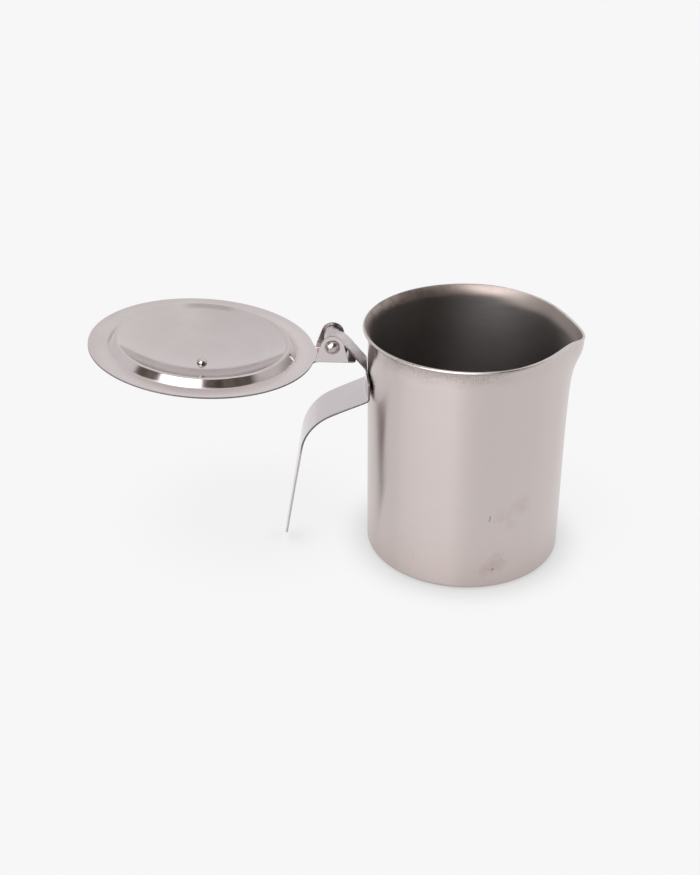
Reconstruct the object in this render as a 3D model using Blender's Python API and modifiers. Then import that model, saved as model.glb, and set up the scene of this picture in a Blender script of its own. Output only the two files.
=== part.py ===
"""Stainless steel grease jug: drawn body with a pinched spout, strap handle and a hinged, knobbed lid.

The frame is in metres with +Z up. The origin is the centre of the flat base, the spout points to +X
and the handle and hinge lie towards -X. The lid stands fully open, resting on its stop.
"""
import math

import bmesh
import bpy
from mathutils import Matrix, Vector

# Jug body
BODY_RADIUS = 0.0400
BODY_HEIGHT = 0.0983
BODY_SHEET = 0.0008
BASE_CORNER_RADIUS = 0.0023
LIP_OVERHANG = 0.0019
LIP_DEPTH = 0.0044

# Pinched spout, pulled out of the lip
SPOUT_REACH = 0.0053
SPOUT_DIP = 0.0044
SPOUT_RUNOUT = 0.0120
SPOUT_FADE_DEPTH = 0.0460
SPOUT_HALF_ANGLE = math.radians(17.0)
SPOUT_DIP_ANGLE = math.radians(18.0)
LIP_FADE_FROM = math.radians(80.0)
LIP_FADE_TO = math.radians(32.0)

# Hinge
PIN_BEHIND_WALL = 0.0138
PIN_BELOW_RIM = 0.0063
PIN_RADIUS = 0.0020
PIN_HEAD_RADIUS = 0.0026
PIN_HEAD_HEIGHT = 0.0016
OPEN_TILT = math.radians(5.6)

# Clearances between separate pieces
SEAT_GAP = 0.0003
RUNNING_GAP = 0.0003
STOP_GAP = 0.0003

# Strap: hinge eye, wall plate and handle bent from one strip
STRAP_THICKNESS = 0.0008
EYE_BORE_RADIUS = 0.0026
EYE_START_ANGLE = math.radians(280.0)
NECK_SLOPE = math.radians(42.5)
BRACKET_SLOPE = math.radians(52.7)
KNEE_BEHIND_WALL = 0.0073
KNEE_RADIUS = 0.0120
BRACKET_HALF_WIDTH = 0.0059
BRACKET_FOOT_RADIUS = 0.0030
SHOULDER_BELOW_RIM = 0.0174
SHOULDER_HEIGHT = 0.0032
PLATE_HALF_WIDTH = 0.0114
PLATE_SADDLE_RADIUS = 0.0600
PLATE_SADDLE_RAMP = 0.0060
HANDLE_ROOT_BELOW_RIM = 0.0278
HANDLE_ROOT_RADIUS = 0.0019
HANDLE_RUN = 0.0242
HANDLE_FALL = math.radians(25.6)
HANDLE_BEND_RADIUS = 0.0215
HANDLE_SPLAY = math.radians(9.64)
TAPER_TOP_BELOW_RIM = 0.0263
TAPER_FOOT_HEIGHT = 0.0140
TAIL_HALF_WIDTH = 0.0051
TAIL_CLEARANCE = 0.0025

# Lid
LID_RADIUS = 0.0445
LID_SHEET = 0.0006
LID_SETBACK = 0.0030
FLANGE_FALL = math.radians(4.0)
DISH_RISE = 0.0080
DISH_EDGE_RADIUS = 0.0331
DISH_EDGE_DROP = 0.0023
RIDGE_CREST_RADIUS = 0.0018
RIDGE_SLOPE = math.radians(52.0)
RIDGE_FOOT_RADIUS = 0.0008
EAR_HALF_SPAN = 0.0068
EAR_HALF_BASE = 0.0066
EAR_TOP_RADIUS = 0.0045
EAR_FOLD_RADIUS = 0.0004
FOLD_BITE_SHARE = 0.9
NECK_FILLET_RADIUS = 0.0025
TONGUE_CORNER_RADIUS = 0.0015
VENT_RADIUS = 0.0012
VENT_RING_RADIUS = 0.0360
VENT_ANGLE = math.radians(10.0)

# Knob and its rivet
KNOB_RADIUS = 0.0070
KNOB_HEIGHT = 0.0110
KNOB_HEAD_DEPTH = 0.0050
KNOB_NECK_RADIUS = 0.0032
KNOB_FOOT_RADIUS = 0.0045
KNOB_FOOT_HEIGHT = 0.0012
KNOB_BORE_DEPTH = 0.0062
RIVET_RADIUS = 0.0012
RIVET_HEAD_RADIUS = 0.0020
RIVET_HEAD_SIDE = 0.0003
RIVET_HEAD_HEIGHT = 0.0015
RIVET_GRIP = 0.0050

# Facets round each turned piece, how far a cutter runs past what it cuts, and when corners are one
BODY_STEPS = 64
LID_STEPS = 64
SMALL_STEPS = 24
OVERRUN = 0.0020
SEAM_TOLERANCE = 0.00001
WELD_TOLERANCE = 0.000001

# Places worked out from the sizes above
LIP_LEAN = 2.0 * math.atan2(LIP_OVERHANG, LIP_DEPTH)
LIP_EDGE_RISE = BODY_SHEET * math.sin(LIP_LEAN)
LIP_EDGE_Z = BODY_HEIGHT - LIP_EDGE_RISE
PIN_X = -(BODY_RADIUS + PIN_BEHIND_WALL)
PIN_Z = BODY_HEIGHT - PIN_BELOW_RIM
LID_CENTRE_X = BODY_RADIUS + PIN_BEHIND_WALL - LID_SETBACK
LID_EDGE_Z = PIN_BELOW_RIM + SEAT_GAP
TONGUE_Z = LID_EDGE_Z - (LID_CENTRE_X - LID_RADIUS) * math.tan(FLANGE_FALL)
EAR_INNER_HALF_SPAN = EAR_HALF_SPAN - LID_SHEET
PIN_HOLE_RADIUS = PIN_RADIUS + RUNNING_GAP
RIVET_HOLE_RADIUS = RIVET_RADIUS + RUNNING_GAP


def smoothstep(start, end, value):
    """Ease from 0 at start to 1 at end."""
    t = min(max((value - start) / (end - start), 0.0), 1.0)
    return t * t * (3.0 - 2.0 * t)


def arc(centre, radius, start, end, steps):
    """Points on a circle from one angle to another, both ends included."""
    points = []
    for i in range(steps + 1):
        angle = start + (end - start) * i / steps
        points.append((centre[0] + radius * math.cos(angle), centre[1] + radius * math.sin(angle)))
    return points


def round_corner(before, corner, after, radius, steps):
    """Points of the arc that rounds one corner of a path."""
    corner = Vector(corner)
    incoming = (corner - Vector(before)).normalized()
    outgoing = (Vector(after) - corner).normalized()
    turn = incoming.angle_signed(outgoing)
    setback = radius * math.tan(abs(turn) / 2.0)
    start = corner - incoming * setback
    side = -math.copysign(1.0, turn)
    normal = Vector((-incoming.y, incoming.x)) * side
    centre = start + normal * radius
    points = []
    for i in range(steps + 1):
        sweep = Matrix.Rotation(abs(turn) * side * i / steps, 2)
        points.append(tuple(centre + sweep @ (start - centre)))
    return points


def clear_scene():
    """Remove whatever the file holds."""
    for obj in list(bpy.data.objects):
        bpy.data.objects.remove(obj)


def make_collection(name):
    """Link a new collection to the scene."""
    collection = bpy.data.collections.new(name)
    bpy.context.scene.collection.children.link(collection)
    return collection


def steel(name, colour, roughness):
    """A stainless steel finish."""
    material = bpy.data.materials.new(name)
    material.use_nodes = True
    shader = material.node_tree.nodes["Principled BSDF"]
    shader.inputs["Base Color"].default_value = (*colour, 1.0)
    shader.inputs["Metallic"].default_value = 1.0
    shader.inputs["Roughness"].default_value = roughness
    return material


def add_object(name, mesh, collection, material=None):
    """Link an object for a mesh, with its finish."""
    obj = bpy.data.objects.new(name, mesh)
    collection.objects.link(obj)
    if material is not None:
        mesh.materials.append(material)
    return obj


def make_cutter(obj):
    """Mark an object as a construction shape."""
    obj.hide_render = True
    obj.display_type = "WIRE"
    return obj


def evaluated_mesh(obj):
    """The mesh of an object with its modifiers applied."""
    bpy.context.view_layer.update()
    depsgraph = bpy.context.evaluated_depsgraph_get()
    return bpy.data.meshes.new_from_object(obj.evaluated_get(depsgraph))


def profile_mesh(name, points):
    """A chain of edges in the XZ plane."""
    bm = bmesh.new()
    verts = [bm.verts.new((x, 0.0, z)) for x, z in points]
    for first, second in zip(verts, verts[1:]):
        bm.edges.new((first, second))
    mesh = bpy.data.meshes.new(name)
    bm.to_mesh(mesh)
    bm.free()
    return mesh


def turned_mesh(name, points, steps, collection):
    """Turn a profile about the Z axis and return the mesh."""
    obj = add_object(name + "_profile", profile_mesh(name, points), collection)
    screw = obj.modifiers.new("Turn", "SCREW")
    screw.steps = steps
    screw.render_steps = steps
    screw.use_merge_vertices = True
    screw.merge_threshold = SEAM_TOLERANCE
    mesh = evaluated_mesh(obj)
    bpy.data.objects.remove(obj)
    mesh.name = name
    return mesh


def ribbon_mesh(name, points, half_width, columns, collection):
    """Sweep a profile straight along Y and return the mesh."""
    obj = add_object(name + "_profile", profile_mesh(name, points), collection)
    sweep = obj.modifiers.new("Sweep", "SCREW")
    sweep.axis = "Y"
    sweep.angle = 0.0
    sweep.screw_offset = 2.0 * half_width
    sweep.steps = columns
    sweep.render_steps = columns
    mesh = evaluated_mesh(obj)
    bpy.data.objects.remove(obj)
    mesh.name = name
    mesh.transform(Matrix.Translation((0.0, -half_width, 0.0)))
    return mesh


def outline_solid(name, points, half_depth, collection):
    """A flat outline in the XY plane, thickened both ways along Z."""
    curve = bpy.data.curves.new(name, "CURVE")
    curve.dimensions = "2D"
    curve.fill_mode = "BOTH"
    curve.extrude = half_depth
    spline = curve.splines.new("POLY")
    spline.points.add(len(points) - 1)
    for point, (x, y) in zip(spline.points, points):
        point.co = (x, y, 0.0, 1.0)
    spline.use_cyclic_u = True
    source = bpy.data.objects.new(name + "_outline", curve)
    collection.objects.link(source)
    mesh = evaluated_mesh(source)
    bpy.data.objects.remove(source)
    bm = bmesh.new()
    bm.from_mesh(mesh)
    bmesh.ops.remove_doubles(bm, verts=bm.verts, dist=WELD_TOLERANCE)
    bmesh.ops.recalc_face_normals(bm, faces=bm.faces)
    bm.to_mesh(mesh)
    bm.free()
    mesh.name = name
    return add_object(name, mesh, collection)


def cylinder(name, radius, half_length, collection):
    """A closed cylinder along Z."""
    bm = bmesh.new()
    bmesh.ops.create_cone(bm, cap_ends=True, segments=SMALL_STEPS, radius1=radius, radius2=radius,
                          depth=2.0 * half_length)
    mesh = bpy.data.meshes.new(name)
    bm.to_mesh(mesh)
    bm.free()
    return add_object(name, mesh, collection)


def thicken(obj, thickness, offset):
    """Give a surface its sheet thickness."""
    solidify = obj.modifiers.new("Sheet", "SOLIDIFY")
    solidify.thickness = thickness
    solidify.offset = offset
    solidify.use_even_offset = True
    return solidify


def combine(obj, operation, other):
    """Cut, join or trim an object with another."""
    boolean = obj.modifiers.new(operation.title(), "BOOLEAN")
    boolean.operation = operation
    boolean.solver = "EXACT"
    boolean.object = make_cutter(other)
    return boolean


def shade(obj, sharp_angle=math.radians(35.0)):
    """Smooth the round faces and keep the edges crisp."""
    obj.data.shade_smooth()
    obj.data.set_sharp_from_angle(angle=sharp_angle)


def body_profile():
    """Outer profile of the body, from the lip down to the centre of the base."""
    flare_radius = LIP_DEPTH / math.sin(LIP_LEAN)
    neck = LIP_EDGE_Z - LIP_DEPTH
    points = arc((BODY_RADIUS + flare_radius, neck), flare_radius, math.pi - LIP_LEAN, math.pi, 5)
    fade_steps = 9
    for i in range(1, fade_steps + 1):
        points.append((BODY_RADIUS, neck - (SPOUT_FADE_DEPTH - LIP_DEPTH) * i / fade_steps))
    corner = (BODY_RADIUS - BASE_CORNER_RADIUS, BASE_CORNER_RADIUS)
    points += arc(corner, BASE_CORNER_RADIUS, 0.0, -math.pi / 2.0, 4)
    points.append((0.0, 0.0))
    return points


def shape_spout(mesh):
    """Pull the spout out of the lip, letting the flare die away beside it."""
    for vert in mesh.vertices:
        x, y, z = vert.co
        radius = math.hypot(x, y)
        depth = LIP_EDGE_Z - z
        if depth > SPOUT_FADE_DEPTH - OVERRUN or radius < BODY_RADIUS - BASE_CORNER_RADIUS:
            continue
        angle = math.atan2(y, x)
        runout = 1.0 / (1.0 + (depth / SPOUT_RUNOUT) ** 3)
        flare = radius - BODY_RADIUS
        keep = 1.0 - smoothstep(LIP_FADE_FROM, LIP_FADE_TO, abs(angle))
        pull = SPOUT_REACH * runout * math.exp(-(angle / SPOUT_HALF_ANGLE) ** 2)
        dip = SPOUT_DIP * runout * math.exp(-(angle / SPOUT_DIP_ANGLE) ** 2)
        rise = LIP_EDGE_RISE * (1.0 - keep) * smoothstep(LIP_DEPTH, 0.0, depth)
        radius = BODY_RADIUS + flare * keep + pull
        vert.co = (radius * math.cos(angle), radius * math.sin(angle), z - dip + rise)


def crowd_spout(mesh):
    """Draw the turned columns closer together at the spout."""
    crowding_share = 0.35
    for vert in mesh.vertices:
        angle = math.atan2(vert.co.y, vert.co.x)
        turn = -crowding_share * math.sin(angle)
        vert.co = Matrix.Rotation(turn, 3, "Z") @ vert.co


def build_jug_body(collection, guides, material):
    """The drawn vessel with its flared lip and spout."""
    mesh = turned_mesh("jug_body", body_profile(), BODY_STEPS, guides)
    crowd_spout(mesh)
    shape_spout(mesh)
    obj = add_object("jug_body", mesh, collection, material)
    thicken(obj, BODY_SHEET, -1.0)
    shade(obj)
    return obj


def strap_knee():
    """Where the strap, on its middle line, turns down more steeply on its way from the eye."""
    eye_radius = EYE_BORE_RADIUS + STRAP_THICKNESS / 2.0
    x = -(BODY_RADIUS + KNEE_BEHIND_WALL)
    z = PIN_Z + (eye_radius - (x - PIN_X) * math.sin(NECK_SLOPE)) / math.cos(NECK_SLOPE)
    return x, z


def strap_path():
    """Middle line of the bent strap in the XZ plane, from the eye to the handle's tail."""
    eye_radius = EYE_BORE_RADIUS + STRAP_THICKNESS / 2.0
    leave_angle = math.pi / 2.0 - NECK_SLOPE
    points = arc((PIN_X, PIN_Z), eye_radius, EYE_START_ANGLE, leave_angle, 16)
    leave = points[-1]
    knee = strap_knee()
    plate_x = -(BODY_RADIUS + SEAT_GAP + STRAP_THICKNESS / 2.0)
    foot = (plate_x, knee[1] - (plate_x - knee[0]) * math.tan(BRACKET_SLOPE))
    root = (plate_x, BODY_HEIGHT - HANDLE_ROOT_BELOW_RIM)
    bend = (plate_x - HANDLE_RUN, root[1] - HANDLE_RUN * math.tan(HANDLE_FALL))
    tail = (bend[0] - (bend[1] - TAIL_CLEARANCE) * math.tan(HANDLE_SPLAY), TAIL_CLEARANCE)
    points += round_corner(leave, knee, foot, KNEE_RADIUS, 3)
    points += round_corner(knee, foot, root, BRACKET_FOOT_RADIUS, 5)
    points += round_corner(foot, root, bend, HANDLE_ROOT_RADIUS, 6)
    points += round_corner(root, bend, tail, HANDLE_BEND_RADIUS, 9)
    points.append((tail[0] - OVERRUN * math.tan(HANDLE_SPLAY), tail[1] - OVERRUN))
    return points, foot[1], root[1]


def strap_outline():
    """Front view of the strap as (half width, height), from the eye to the tail's tip."""
    top = PIN_Z + EYE_BORE_RADIUS + STRAP_THICKNESS + OVERRUN
    shoulder = BODY_HEIGHT - SHOULDER_BELOW_RIM
    taper = BODY_HEIGHT - TAPER_TOP_BELOW_RIM
    half = [(BRACKET_HALF_WIDTH, top)]
    for i in range(9):
        ease = smoothstep(0.0, 1.0, i / 8.0)
        width = BRACKET_HALF_WIDTH + (PLATE_HALF_WIDTH - BRACKET_HALF_WIDTH) * ease
        half.append((width, shoulder - SHOULDER_HEIGHT * i / 8.0))
    for i in range(9):
        ease = smoothstep(0.0, 1.0, i / 8.0)
        width = PLATE_HALF_WIDTH + (TAIL_HALF_WIDTH - PLATE_HALF_WIDTH) * ease
        half.append((width, taper + (TAPER_FOOT_HEIGHT - taper) * i / 8.0))
    half += arc((0.0, TAIL_CLEARANCE + TAIL_HALF_WIDTH), TAIL_HALF_WIDTH, 0.0, -math.pi / 2.0, 8)
    mirrored = [(-y, z) for y, z in reversed(half[:-1])]
    return half + mirrored


def curl_plate(mesh, foot_z, root_z):
    """Bend the wall plate part of the way round the body."""
    for vert in mesh.vertices:
        x, y, z = vert.co
        above = smoothstep(foot_z + PLATE_SADDLE_RAMP, foot_z, z)
        below = smoothstep(root_z - PLATE_SADDLE_RAMP, root_z, z)
        vert.co.x = x + above * below * y * y / (2.0 * PLATE_SADDLE_RADIUS)


def build_handle_strap(collection, guides, material):
    """The strip that makes the hinge eye, the wall plate and the handle."""
    points, foot_z, root_z = strap_path()
    mesh = ribbon_mesh("handle_strap", points, PLATE_HALF_WIDTH + OVERRUN, 10, guides)
    curl_plate(mesh, foot_z, root_z)
    obj = add_object("handle_strap", mesh, collection, material)
    thicken(obj, STRAP_THICKNESS, 0.0)
    back = PIN_X - HANDLE_RUN - BODY_HEIGHT * math.tan(HANDLE_SPLAY)
    blank = outline_solid("strap_blank", strap_outline(), -back / 2.0, guides)
    blank.data.transform(Matrix(((0, 0, 1, back / 2.0), (1, 0, 0, 0), (0, 1, 0, 0), (0, 0, 0, 1))))
    combine(obj, "INTERSECT", blank)
    shade(obj)
    return obj


def flange_z(radius):
    """Height of the sloping flange's underside at a radius, from its height at the lid's edge."""
    return (LID_RADIUS - radius) * math.tan(FLANGE_FALL)


def lid_profile():
    """Underside of the lid's sheet from its centre outwards, with the lid's edge at height zero."""
    sagitta = DISH_RISE + DISH_EDGE_DROP
    dish_radius = (DISH_EDGE_RADIUS ** 2 + sagitta ** 2) / (2.0 * sagitta)
    dish_angle = math.asin(DISH_EDGE_RADIUS / dish_radius)
    down = -math.pi / 2.0
    points = arc((0.0, DISH_RISE - dish_radius), dish_radius, -down, -down - dish_angle, 7)
    crest = (DISH_EDGE_RADIUS + RIDGE_CREST_RADIUS * math.sin(dish_angle),
             RIDGE_CREST_RADIUS * math.cos(dish_angle) - DISH_EDGE_DROP)
    points += arc(crest, RIDGE_CREST_RADIUS, down - dish_angle, down + RIDGE_SLOPE, 7)[1:]
    leave = points[-1]
    run = (flange_z(leave[0]) - leave[1]) / (math.tan(RIDGE_SLOPE) + math.tan(FLANGE_FALL))
    corner = (leave[0] + run, leave[1] + run * math.tan(RIDGE_SLOPE))
    points += round_corner(leave, corner, (LID_RADIUS, 0.0), RIDGE_FOOT_RADIUS, 3)
    return points


def tongue_z(x):
    """Height of the tongue's underside over the pin, at a distance from the pin towards the lid's centre."""
    return TONGUE_Z + x * math.tan(FLANGE_FALL)


def tongue_length():
    """How far the tongue runs past the pin before it meets the underside of the bracket."""
    knee_x, knee_z = strap_knee()
    middle = (knee_x - PIN_X) * math.sin(BRACKET_SLOPE) + (knee_z - PIN_Z) * math.cos(BRACKET_SLOPE)
    face = middle - STRAP_THICKNESS / 2.0 - STOP_GAP
    lean = BRACKET_SLOPE - OPEN_TILT
    return (face + TONGUE_Z * math.cos(lean)) / (math.sin(lean) + math.tan(FLANGE_FALL) * math.cos(lean))


def lid_outline():
    """Plan of the lid about its centre: a disc with a filleted tongue towards -X."""
    half = EAR_INNER_HALF_SPAN + LID_SHEET / 3.0
    end = -(LID_CENTRE_X + tongue_length())
    fillet_y = half + NECK_FILLET_RADIUS
    reach = LID_RADIUS + NECK_FILLET_RADIUS
    fillet_x = -math.sqrt(reach ** 2 - fillet_y ** 2)
    meet = math.atan2(fillet_y, fillet_x)
    disc = arc((0.0, 0.0), LID_RADIUS, -meet, meet, LID_STEPS - 3)
    fillet = arc((fillet_x, fillet_y), NECK_FILLET_RADIUS, meet - math.pi, -math.pi / 2.0, 5)
    corner_x = end + TONGUE_CORNER_RADIUS
    corner_y = half - TONGUE_CORNER_RADIUS
    corner = arc((corner_x, corner_y), TONGUE_CORNER_RADIUS, math.pi / 2.0, math.pi, 4)
    side = fillet[1:] + corner
    return disc + side + [(x, -y) for x, y in reversed(side)]


def ear_outline():
    """Side view of an ear about the pin: a round end with sides that splay to the fold."""
    front = Vector((EAR_HALF_BASE, tongue_z(EAR_HALF_BASE)))
    back = Vector((-EAR_HALF_BASE, tongue_z(-EAR_HALF_BASE)))
    front_touch = math.atan2(front.y, front.x) - math.acos(EAR_TOP_RADIUS / front.length)
    back_touch = math.atan2(back.y, back.x) + math.acos(EAR_TOP_RADIUS / back.length)
    fold = Vector((0.0, LID_SHEET * FOLD_BITE_SHARE))
    points = arc((0.0, 0.0), EAR_TOP_RADIUS, back_touch - 2.0 * math.pi, front_touch, 14)
    return points + [tuple(front), tuple(front + fold), tuple(back + fold), tuple(back)]


def build_lid(collection, guides, material, hinge):
    """The pressed lid with its tongue and the two ears folded down from it."""
    tongue = tongue_length()
    blank_radius = LID_CENTRE_X + tongue + OVERRUN
    profile = lid_profile() + [(blank_radius, flange_z(blank_radius))]
    mesh = turned_mesh("lid", profile, LID_STEPS, guides)
    mesh.transform(Matrix.Translation((LID_CENTRE_X, 0.0, LID_EDGE_Z)))
    obj = add_object("lid", mesh, collection, material)
    thicken(obj, LID_SHEET, 1.0)
    trim = outline_solid("lid_trim", lid_outline(), DISH_RISE + DISH_EDGE_DROP, guides)
    trim.data.transform(Matrix.Translation((LID_CENTRE_X, 0.0, LID_EDGE_Z)))
    combine(obj, "INTERSECT", trim)
    for name, side in (("ear_near", -1.0), ("ear_far", 1.0)):
        ear = outline_solid(name, ear_outline(), LID_SHEET / 2.0, guides)
        middle = side * (EAR_HALF_SPAN - LID_SHEET / 2.0)
        ear.data.transform(Matrix(((1, 0, 0, 0), (0, 0, 1, middle), (0, 1, 0, 0), (0, 0, 0, 1))))
        round_fold(ear.data, side)
        combine(obj, "UNION", ear)
    bore = cylinder("ear_bore", PIN_HOLE_RADIUS, EAR_HALF_SPAN + OVERRUN, guides)
    bore.data.transform(Matrix.Rotation(math.pi / 2.0, 4, "X"))
    combine(obj, "DIFFERENCE", bore)
    depth = DISH_RISE + DISH_EDGE_DROP
    vent_x = LID_CENTRE_X - VENT_RING_RADIUS * math.cos(VENT_ANGLE)
    vent_y = -VENT_RING_RADIUS * math.sin(VENT_ANGLE)
    for name, radius, place in (("vent_cut", VENT_RADIUS, (vent_x, vent_y)),
                                ("rivet_cut", RIVET_HOLE_RADIUS, (LID_CENTRE_X, 0.0))):
        cutter = cylinder(name, radius, depth, guides)
        cutter.data.transform(Matrix.Translation((*place, LID_EDGE_Z)))
        combine(obj, "DIFFERENCE", cutter)
    for guide in [m.object for m in obj.modifiers if m.type == "BOOLEAN"]:
        guide.parent = hinge
    obj.parent = hinge
    shade(obj)
    return obj


def round_fold(mesh, side):
    """Round the outer edge along which an ear is folded."""
    bm = bmesh.new()
    bm.from_mesh(mesh)
    outer = side * (EAR_HALF_SPAN - LID_SHEET / 4.0)
    edges = [e for e in bm.edges if all(v.co.z > tongue_z(v.co.x) + LID_SHEET / 2.0
                                        and v.co.y * side > abs(outer) for v in e.verts)]
    bmesh.ops.bevel(bm, geom=edges, offset=EAR_FOLD_RADIUS, segments=3, profile=0.5, affect="EDGES",
                    clamp_overlap=True)
    bmesh.ops.recalc_face_normals(bm, faces=bm.faces)
    bm.to_mesh(mesh)
    bm.free()


def build_hinge_pin(collection, guides, material, hinge):
    """The rivet that joins the ears through the strap's eye, with a domed head at each end."""
    seat = EAR_HALF_SPAN + SEAT_GAP
    dome = (PIN_HEAD_RADIUS ** 2 + PIN_HEAD_HEIGHT ** 2) / (2.0 * PIN_HEAD_HEIGHT)
    spread = math.asin(PIN_HEAD_RADIUS / dome)
    head = arc((0.0, seat + PIN_HEAD_HEIGHT - dome), dome, math.pi / 2.0, math.pi / 2.0 - spread, 5)
    half = head + [(PIN_RADIUS, seat)]
    points = half + [(r, -z) for r, z in reversed(half)]
    obj = add_object("hinge_pin", turned_mesh("hinge_pin", points, SMALL_STEPS, guides), collection, material)
    obj.rotation_euler = (math.pi / 2.0, 0.0, 0.0)
    obj.parent = hinge
    shade(obj)
    return obj


def knob_profile():
    """Profile of the knob from its crown, round the foot and up the blind bore."""
    shoulder = KNOB_HEIGHT - KNOB_HEAD_DEPTH
    half_depth = KNOB_HEAD_DEPTH / 2.0
    rim = (KNOB_RADIUS - half_depth, KNOB_HEIGHT - half_depth)
    points = [(0.0, KNOB_HEIGHT)]
    points += arc(rim, half_depth, math.pi / 2.0, -math.pi / 2.0, 8)
    waist = shoulder - KNOB_FOOT_HEIGHT
    flute = waist / 2.0
    points += arc((KNOB_NECK_RADIUS + flute, KNOB_FOOT_HEIGHT + flute), flute, math.pi / 2.0,
                  3.0 * math.pi / 2.0, 6)[1:-1]
    points += [(KNOB_FOOT_RADIUS, KNOB_FOOT_HEIGHT), (KNOB_FOOT_RADIUS, 0.0), (RIVET_HOLE_RADIUS, 0.0)]
    points += [(RIVET_HOLE_RADIUS, KNOB_BORE_DEPTH), (0.0, KNOB_BORE_DEPTH)]
    return points


def build_knob(collection, guides, material, hinge):
    """The turned knob on the crown of the lid."""
    obj = add_object("knob", turned_mesh("knob", knob_profile(), SMALL_STEPS, guides), collection, material)
    obj.location = (LID_CENTRE_X, 0.0, LID_EDGE_Z + DISH_RISE + LID_SHEET + SEAT_GAP)
    obj.parent = hinge
    shade(obj)
    return obj


def build_knob_rivet(collection, guides, material, hinge):
    """The rivet that holds the knob, its domed head under the lid."""
    rise = RIVET_HEAD_HEIGHT - RIVET_HEAD_SIDE
    dome = (RIVET_HEAD_RADIUS ** 2 + rise ** 2) / (2.0 * rise)
    spread = math.asin(RIVET_HEAD_RADIUS / dome)
    down = -math.pi / 2.0
    shank = SEAT_GAP + LID_SHEET + RIVET_GRIP
    points = [(0.0, shank), (RIVET_RADIUS, shank), (RIVET_RADIUS, 0.0), (RIVET_HEAD_RADIUS, 0.0)]
    points += arc((0.0, dome - RIVET_HEAD_HEIGHT), dome, down + spread, down, 6)
    points[-1] = (0.0, -RIVET_HEAD_HEIGHT)
    obj = add_object("knob_rivet", turned_mesh("knob_rivet", points, SMALL_STEPS, guides), collection, material)
    obj.location = (LID_CENTRE_X, 0.0, LID_EDGE_Z + DISH_RISE - SEAT_GAP)
    obj.parent = hinge
    shade(obj)
    return obj


def build():
    """Make every piece of the jug."""
    clear_scene()
    jug = make_collection("grease_jug")
    guides = make_collection("guides")
    satin = steel("satin_steel", (0.52, 0.48, 0.47), 0.32)
    strip = steel("strap_steel", (0.60, 0.57, 0.57), 0.16)
    bright = steel("lid_steel", (0.62, 0.58, 0.58), 0.12)
    pin_steel = steel("pin_steel", (0.58, 0.55, 0.54), 0.18)
    knob_steel = steel("knob_steel", (0.60, 0.57, 0.56), 0.15)
    rivet_steel = steel("rivet_steel", (0.60, 0.57, 0.56), 0.20)
    hinge = bpy.data.objects.new("lid_hinge", None)
    hinge.location = (PIN_X, 0.0, PIN_Z)
    hinge.rotation_euler = (0.0, OPEN_TILT - math.pi, 0.0)
    jug.objects.link(hinge)
    build_jug_body(jug, guides, satin)
    build_handle_strap(jug, guides, strip)
    build_lid(jug, guides, bright, hinge)
    build_hinge_pin(jug, guides, pin_steel, hinge)
    build_knob(jug, guides, knob_steel, hinge)
    build_knob_rivet(jug, guides, rivet_steel, hinge)
    bpy.context.view_layer.update()


build()
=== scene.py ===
"""Looks of a small steel grease jug: satin body, strap handle and a hinged lid that stands open.

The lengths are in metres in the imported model's frame. The origin is the centre of the flat base,
the spout points to +X and the handle and the hinge lie towards -X.
"""
from __future__ import annotations

import logging
import math
from dataclasses import dataclass, field
from enum import Enum
from functools import reduce
from typing import Callable, Sequence, Union

import bmesh
import bpy
from mathutils import Matrix, Vector
from mathutils.kdtree import KDTree


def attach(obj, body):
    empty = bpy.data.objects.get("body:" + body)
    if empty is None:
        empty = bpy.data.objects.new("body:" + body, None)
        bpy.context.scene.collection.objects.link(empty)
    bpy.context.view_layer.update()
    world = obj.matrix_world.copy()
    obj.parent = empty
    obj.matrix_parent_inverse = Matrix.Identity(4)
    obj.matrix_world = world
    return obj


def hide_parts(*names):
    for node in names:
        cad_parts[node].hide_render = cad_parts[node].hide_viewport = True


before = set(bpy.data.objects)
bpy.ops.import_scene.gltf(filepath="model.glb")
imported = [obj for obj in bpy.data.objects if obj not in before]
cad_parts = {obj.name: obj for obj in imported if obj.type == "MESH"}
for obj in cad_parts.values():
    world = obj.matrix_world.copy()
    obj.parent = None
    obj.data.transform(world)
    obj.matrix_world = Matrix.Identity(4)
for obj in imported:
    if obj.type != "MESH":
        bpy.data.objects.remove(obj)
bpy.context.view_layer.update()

log = logging.getLogger("grease_jug")

BEVEL_FACETS = 3
BEVEL_ANGLE = math.radians(50.0)
CREASE_ANGLE = math.radians(38.0)
QUARTER = math.pi / 2.0

Material = bpy.types.Material
Mesh = bpy.types.Mesh
Object = bpy.types.Object
Socket = bpy.types.NodeSocket
Tree = bpy.types.NodeTree
Point = tuple[float, float]
Place = tuple[float, float, float]
Term = Union[float, tuple, Socket]


def smoothstep(start: float, end: float, value: float) -> float:
    """Ease from 0 at the start to 1 at the end."""
    t = min(max((value - start) / (end - start), 0.0), 1.0)
    return t * t * (3.0 - 2.0 * t)


def arc(centre: Point, radius: float, start: float, end: float, steps: int) -> list[Point]:
    """Place points on a circle from one angle to another.

    Args:
        centre: Centre of the circle.
        radius: Its radius.
        start: First angle, in radians.
        end: Last angle, in radians.
        steps: Number of chords.

    Returns:
        The points, both ends included.
    """
    turns = [start + (end - start) * i / steps for i in range(steps + 1)]
    return [(centre[0] + radius * math.cos(a), centre[1] + radius * math.sin(a)) for a in turns]


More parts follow.
